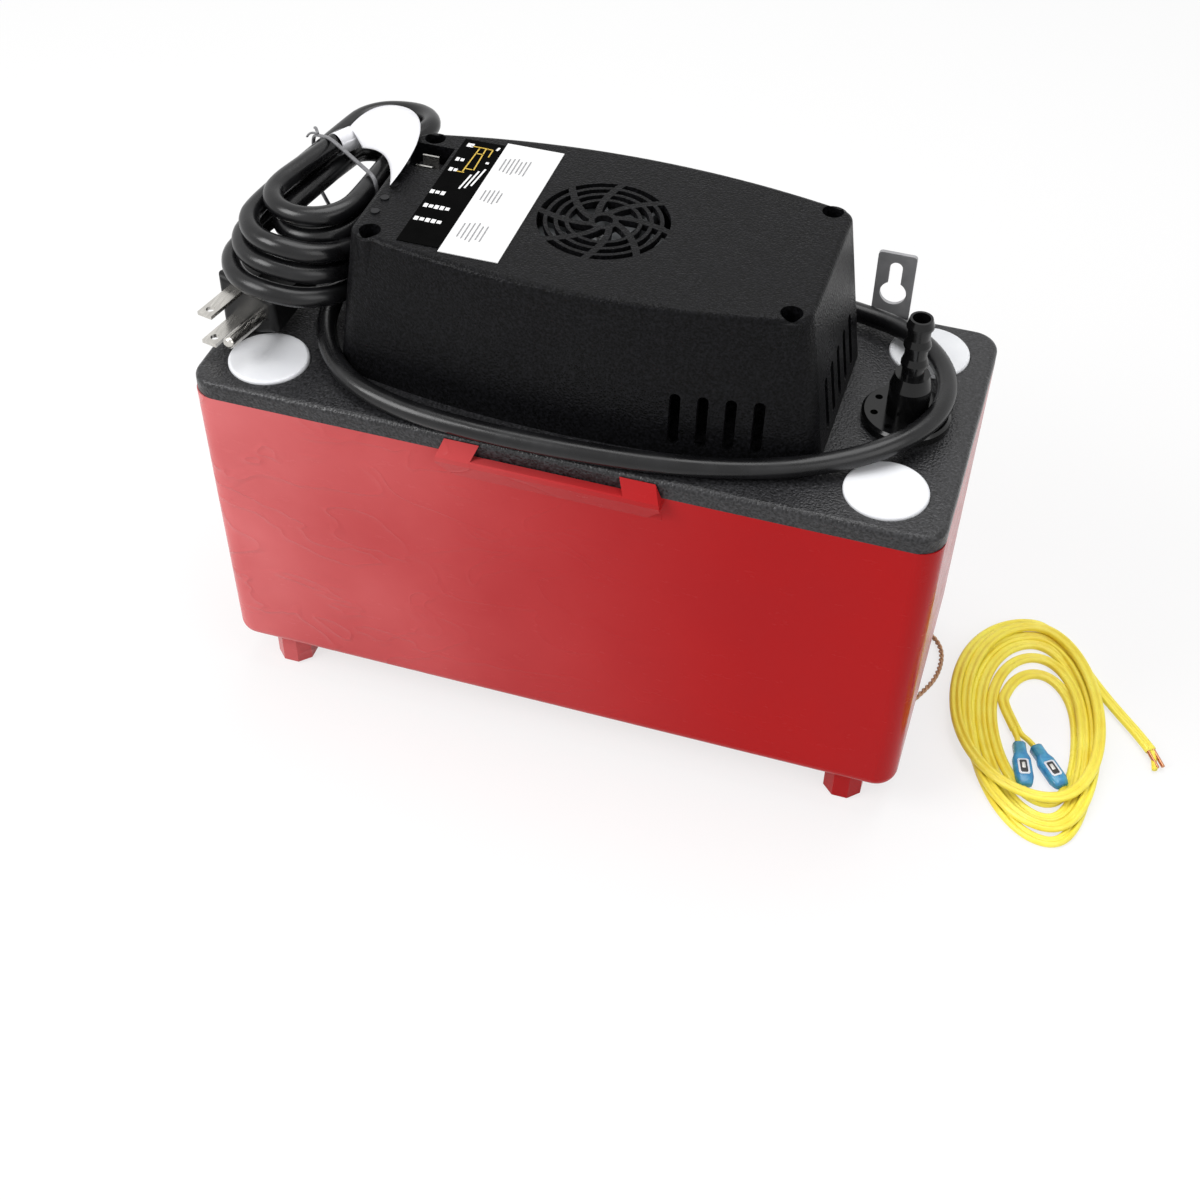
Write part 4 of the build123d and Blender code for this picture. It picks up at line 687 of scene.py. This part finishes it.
def strapBand(tie):
    # a flat band follows the loop: across it is the loop plane's own direction, and its thickness points outwards
    line = strapLoop(tie) * mm
    tangent = np.roll(line, -1, axis=0) - np.roll(line, 1, axis=0)
    tangent /= np.linalg.norm(tangent, axis=1, keepdims=True)
    corners = np.array(tie["corners"])
    across = np.cross(corners[1] - corners[0], corners[2] - corners[1])
    across = across / np.linalg.norm(across)
    outward = np.cross(tangent, across)
    angle = np.linspace(0, 2 * np.pi, 12, endpoint=False)
    flat = squarish(np.cos(angle), 0.4) * tie["width"] / 2 * mm
    high = squarish(np.sin(angle), 0.6) * tie["thick"] / 2 * mm
    spots = line[:, None, :] + across * flat[None, :, None] + outward[:, None, :] * high[None, :, None]
    return spots.reshape(-1, 3), [gridFaces(len(line), len(angle), closeRows=True, closeColumns=True)]


strap = meshPiece("hankTie", *strapBand(hankTie), "deck", "tieGrey", "tie_grey")
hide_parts("cord_tie")
tieTails = [tubePiece(f"hankTieTail{number}", smoothLine(np.array(route) * mm, fineStep),
                      ovalProfile(*hankTie["tailHalves"], 12) * mm, "deck", "tieGrey", "tie_grey")
            for number, route in enumerate(hankTie["tails"], 1)]
print("ties made")

# bare white flag folded round one strand of the hank
cordFlag = {
    # its four edges, each by three points: along the far side, along the near side, at the strand, at the free end
    "farEdge": [(-112.6, 36.6, 207.6), (-107.0, 48.6, 210.2), (-97.6, 54.8, 209.0)],
    "nearEdge": [(-103.6, 27.5, 205.6), (-89.0, 15.5, 211.6), (-78.4, -5.9, 214.8)],
    "innerEdge": [(-112.6, 36.6, 207.6), (-108.4, 32.0, 208.0), (-103.6, 27.5, 205.6)],
    "outerEdge": [(-97.6, 54.8, 209.0), (-79.6, 27.0, 217.4), (-78.4, -5.9, 214.8)],
    "thick": 0.18,
    "flat": (0.030, 0.034),  # the sheet laid out, in metres
    "grid": (36, 28),        # points along and across the sheet
    "strapFrom": (-115.0, 28.6, 204.4),
    "strapTo": (-111.2, 35.8, 204.1),
    "strapRadius": 4.15,
    "strapRise": 0.12,       # how much further out the strap lies after each half turn
    "strapTurns": 1.075,
    "strapGrid": (10, 56),
}


def bentEdge(points, share):
    # a parabola through three points: first (1 - s)(1 - 2s) + middle 4s(1 - s) + last s(2s - 1)
    first, middle, last = (np.array(point, float) for point in points)
    s = share[..., None]
    return first * (1 - s) * (1 - 2 * s) + middle * 4 * s * (1 - s) + last * s * (2 * s - 1)


def flagSheet(flag):
    # the sheet spanned by its four edges: the two ways of ruling it are added, less the flat sheet of its corners
    s, t = np.meshgrid(*(np.linspace(0, 1, count) for count in flag["grid"]), indexing="ij")
    far, near = bentEdge(flag["farEdge"], s), bentEdge(flag["nearEdge"], s)
    inner, outer = bentEdge(flag["innerEdge"], t), bentEdge(flag["outerEdge"], t)
    a, b = s[..., None], t[..., None]
    corners = (far[0, 0] * (1 - a) * (1 - b) + far[-1, 0] * a * (1 - b)
               + near[0, 0] * (1 - a) * b + near[-1, 0] * a * b)
    spots = far * (1 - b) + near * b + inner * (1 - a) + outer * a - corners
    return spots.reshape(-1, 3) * mm, [gridFaces(*flag["grid"])[:, ::-1]]


def strapRing(flag):
    # a short open cylinder round the strand, overlapping itself: its radius grows evenly with the turn
    start, end = np.array(flag["strapFrom"]), np.array(flag["strapTo"])
    axis = (end - start) / np.linalg.norm(end - start)
    side = np.cross(axis, [0, 0, 1.0])
    above = np.cross(side, axis)
    rows, columns = flag["strapGrid"]
    wound = 2 * np.pi * flag["strapTurns"]
    s, turn = np.meshgrid(np.linspace(0, 1, rows), np.linspace(0, wound, columns), indexing="ij")
    radius = flag["strapRadius"] + flag["strapRise"] * turn / np.pi
    spots = (start + s[..., None] * (end - start)
             + (radius * np.cos(turn))[..., None] * side + (radius * np.sin(turn))[..., None] * above)
    return spots.reshape(-1, 3) * mm, [gridFaces(rows, columns)]


def thicken(piece, thick):
    # gives a sheet its thickness, half to each side
    wall = piece.modifiers.new("wall", "SOLIDIFY")
    wall.thickness = thick * mm
    wall.offset = 0.0


flag = meshPiece("cordFlag", *flagSheet(cordFlag), "deck", "tagWhite", "tag_white")
thicken(flag, cordFlag["thick"])
flagStrap = meshPiece("cordFlagStrap", *strapRing(cordFlag), "deck", "tagWhite", "tag_white")
thicken(flagStrap, cordFlag["thick"])
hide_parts("cord_tag")
print("flag made")

# prints on the control label and rating label: bars stand for words, lines for the wiring sketch
prints = {
    "lift": 0.05,
    "thick": 0.08,
    "controlTop": 213.4,
    "ratingTop": 213.4,
    # rows of word bars on the control label: left end x, y, letters, letter width
    "words": [(-64.6, -2.6, 3, 1.5), (-63.6, -11.6, 5, 1.5), (-63.9, -20.2, 5, 1.6), (-63.4, 20.3, 2, 1.3),
              (-63.4, 13.2, 2, 1.3)],
    "letterHeight": 2.3,
    "shortLetter": 0.78,     # share of that height
    "letterGap": 0.55,
    # single strokes: centre x, y, length, width, turn in degrees
    "sketchYellow": [(-57.6, 21.0, 17.0, 0.5, 88), (-54.6, 22.5, 15.0, 0.5, 92), (-57.4, 30.2, 7.0, 0.5, 0),
                     (-58.6, 12.6, 3.0, 0.5, 0), (-56.0, 26.0, 3.0, 0.5, 0), (-52.2, 27.4, 5.0, 0.5, 90),
                     (-53.4, 30.0, 2.4, 0.5, 0), (-56.2, 15.2, 2.6, 0.5, 0)],
    "sketchWhite": [(-54.6, 7.0, 10.0, 0.7, 84), (-52.8, 9.0, 12.0, 0.7, 84), (-51.0, 11.0, 12.0, 0.7, 84),
                    (-61.2, 30.6, 2.6, 2.4, 0), (-50.6, 31.2, 2.2, 0.9, 80), (-51.2, 21.0, 1.2, 1.2, 0)],
    # faint rules on the rating label: x, first y, count, step, length
    "rules": [(-45.6, 22.0, 7, 1.55, 11.0), (-45.6, 1.0, 5, 1.55, 9.0), (-45.4, -22.0, 6, 1.7, 12.0)],
    "ruleWidth": 0.35,
}


def wordBars(layout):
    # a word is a row of small blocks, every third one shorter
    return [(left + (letter + 0.5) * (width + layout["letterGap"]), y, width,
             layout["letterHeight"] * (layout["shortLetter"] if letter % 3 == 1 else 1.0), 0.0)
            for left, y, letters, width in layout["words"] for letter in range(letters)]


def ruleBars(layout):
    # a block of short parallel rules, run along the label, of lengths that vary a little
    return [(x + number * step, y, length * (0.72 + 0.28 * ((number * 5) % 4) / 3), layout["ruleWidth"], 90.0)
            for x, y, count, step, length in layout["rules"] for number in range(count)]


def barBlock(bars, height, body, look, slot, name):
    # each bar is centre x, y, length, width and turn in degrees; all are thin plates joined in one mesh
    bars = np.array(bars, float)
    unit = np.array([[x, y, z] for z in (-1, 1) for x, y in ((-1, -1), (1, -1), (1, 1), (-1, 1))]) / 2
    turn = np.radians(bars[:, 4])[:, None]
    local = unit[None] * np.column_stack([bars[:, 2], bars[:, 3], np.full(len(bars), prints["thick"])])[:, None, :]
    x = bars[:, :1] + local[..., 0] * np.cos(turn) - local[..., 1] * np.sin(turn)
    y = bars[:, 1:2] + local[..., 0] * np.sin(turn) + local[..., 1] * np.cos(turn)
    spots = np.stack([x, y, height + prints["lift"] + local[..., 2]], -1).reshape(-1, 3) * mm
    plate = np.array([[0, 3, 2, 1], [4, 5, 6, 7], [0, 1, 5, 4], [1, 2, 6, 5], [2, 3, 7, 6], [3, 0, 4, 7]])
    faces = (plate[None] + 8 * np.arange(len(bars))[:, None, None]).reshape(-1, 4)
    return meshPiece(name, spots, [faces], body, look, slot, smooth=False)


barBlock(wordBars(prints) + prints["sketchWhite"], prints["controlTop"],
         "deck", "printWhite", "label_white", "controlWords")
barBlock(prints["sketchYellow"], prints["controlTop"], "deck", "printYellow", "label_white", "controlSketch")
barBlock(ruleBars(prints), prints["ratingTop"], "deck", "printGrey", "label_black", "ratingRules")
print("prints made")

# blue spade connectors: a barrel that flares to a flat body with a window over the metal receptacle
spade = {
    # along the connector from the barrel's mouth: distance, half width, half height
    "housing": [(0.0, 2.3, 2.1), (0.5, 2.7, 2.3), (5.6, 2.7, 2.3), (8.2, 3.75, 2.3), (9.4, 3.8, 2.35),
                (18.2, 3.8, 2.35), (20.6, 3.2, 1.9), (21.7, 2.7, 1.5), (22.0, 2.3, 1.2)],
    "frame": [(9.6, 1.7, 0.1), (10.2, 2.3, 0.14), (16.8, 2.3, 0.14), (17.6, 1.7, 0.1)],
    "window": [(10.4, 1.1, 0.08), (10.8, 1.5, 0.1), (16.2, 1.5, 0.1), (16.8, 1.1, 0.08)],
    "metal": [(11.6, 0.5, 0.05), (11.8, 0.7, 0.06), (14.4, 0.7, 0.06), (14.6, 0.5, 0.05)],
    "lifts": {"housing": 0.0, "frame": 2.40, "window": 2.50, "metal": 2.60},   # of each part's axis over the housing's
    "squareness": 3.2,
    "ringPoints": 24,
}


def spadeLoft(part, name, look, slot):
    # the same rounded-rectangle loft at both places: |u|^p + |v|^p = 1 at each station, where p is the squareness
    angle = np.linspace(0, 2 * np.pi, spade["ringPoints"], endpoint=False)
    u, v = (squarish(wave, 2 / spade["squareness"]) for wave in (np.cos(angle), np.sin(angle)))
    stations, height = np.array(spade[part]), leadCores["axisHeight"] + spade["lifts"][part]
    spots, faces = [], []
    for number, ((x, y), heading) in enumerate(leadCores["barrels"]):
        aim = headingAim(heading)
        side = np.array([-aim[1], aim[0], 0])
        rings = (np.array([x, y, height]) + stations[:, None, :1] * aim
                 + (stations[:, None, 1] * u)[..., None] * side + (stations[:, None, 2] * v)[..., None] * [0, 0, 1.0])
        first = number * len(stations) * len(angle)
        faces.append(gridFaces(len(stations), len(angle), closeColumns=True, first=first))
        faces += [cap + first for cap in endCaps(len(stations), len(angle))]
        spots.append(rings.reshape(-1, 3))
    return meshPiece(name, np.vstack(spots) * mm, faces, "base", look, slot)


spadeHousings = spadeLoft("housing", "spadeHousings", "connectorBlue", "connector_blue")
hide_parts("spade_connectors")
spadeParts = [spadeHousings,
              spadeLoft("frame", "spadeFrames", "windowWhite", "connector_blue"),
              spadeLoft("window", "spadeWindows", "switchBlack", "terminal_metal"),
              spadeLoft("metal", "spadeMetals", "tabTin", "terminal_metal")]
print("connectors made")

# floor, backdrop and soft studio light
stage = {
    "floorHalf": 6.0,        # metres
    "floorTone": (0.90, 0.90, 0.90, 1),
    "floorGlow": 0.72,       # share of its own white that the floor shows to the eye, mirrors and clear pieces
    "worldStrength": 0.42,
}


def plainlySeen(tree):
    # 1 for a ray from the eye, off a glossy face or through a clear one, and 0 for light falling on the object:
    # the greatest of the three ray kinds, by two maximum nodes
    path = tree.nodes.new("ShaderNodeLightPath")
    seen = path.outputs["Is Camera Ray"]
    for rayKind in ("Is Glossy Ray", "Is Transmission Ray"):
        greater = tree.nodes.new("ShaderNodeMath")
        greater.operation = "MAXIMUM"
        tree.links.new(seen, greater.inputs[0])
        tree.links.new(path.outputs[rayKind], greater.inputs[1])
        seen = greater.outputs[0]
    return seen


def paleFloor(look):
    # a pale floor that shows almost white to the eye and to reflections, and keeps the object's shadow
    mesh = bpy.data.meshes.new("floor")
    half = look["floorHalf"]
    mesh.from_pydata([(-half, -half, 0), (half, -half, 0), (half, half, 0), (-half, half, 0)], [], [(0, 1, 2, 3)])
    material = bpy.data.materials.new("floorPale")
    material.use_nodes = True
    tree = material.node_tree
    tree.nodes.clear()
    output = tree.nodes.new("ShaderNodeOutputMaterial")
    mix = tree.nodes.new("ShaderNodeMixShader")
    diffuse = tree.nodes.new("ShaderNodeBsdfDiffuse")
    glow = tree.nodes.new("ShaderNodeEmission")
    share = tree.nodes.new("ShaderNodeMath")
    share.operation = "MULTIPLY"
    share.inputs[1].default_value = look["floorGlow"]
    diffuse.inputs["Color"].default_value = look["floorTone"]
    glow.inputs["Color"].default_value = (1, 1, 1, 1)
    glow.inputs["Strength"].default_value = 1.0
    tree.links.new(plainlySeen(tree), share.inputs[0])
    tree.links.new(share.outputs[0], mix.inputs[0])
    tree.links.new(diffuse.outputs[0], mix.inputs[1])
    tree.links.new(glow.outputs[0], mix.inputs[2])
    tree.links.new(mix.outputs[0], output.inputs["Surface"])
    mesh.materials.append(material)
    floor = bpy.data.objects.new("floor", mesh)
    bpy.context.scene.collection.objects.link(floor)


def whiteWorld(strength):
    # the world lights softly, and shows plain white where the eye, a reflection or a clear piece looks past the object
    world = bpy.data.worlds.new("studio")
    bpy.context.scene.world = world
    world.use_nodes = True
    tree = world.node_tree
    background = tree.nodes["Background"]
    background.inputs["Color"].default_value = (1, 1, 1, 1)
    level = tree.nodes.new("ShaderNodeMapRange")
    level.inputs["To Min"].default_value = strength
    level.inputs["To Max"].default_value = 1.0
    tree.links.new(plainlySeen(tree), level.inputs["Value"])
    tree.links.new(level.outputs["Result"], background.inputs["Strength"])


lamps = [
    # name, place, aims at, size, watts
    ("keySoft", (-0.80, -0.70, 0.95), (0, 0, 0.1), 0.7, 12.0),
    ("fillSoft", (0.95, -0.55, 0.75), (0.05, 0, 0.1), 0.8, 3.5),
    ("topSoft", (0.05, 0.25, 1.35), (0, 0, 0.15), 0.9, 9.0),
]


def softLamps(rows):
    # a square area lamp at each place, turned so that it faces its aim
    for name, place, aim, size, watts in rows:
        light = bpy.data.lights.new(name, "AREA")
        light.shape = "SQUARE"
        light.size = size
        light.energy = watts
        lamp = bpy.data.objects.new(name, light)
        lamp.location = place
        lamp.rotation_euler = (Vector(aim) - Vector(place)).to_track_quat("-Z", "Y").to_euler()
        bpy.context.scene.collection.objects.link(lamp)


paleFloor(stage)
whiteWorld(stage["worldStrength"])
softLamps(lamps)
bpy.context.scene.view_settings.view_transform = "Standard"
print("stage lit")
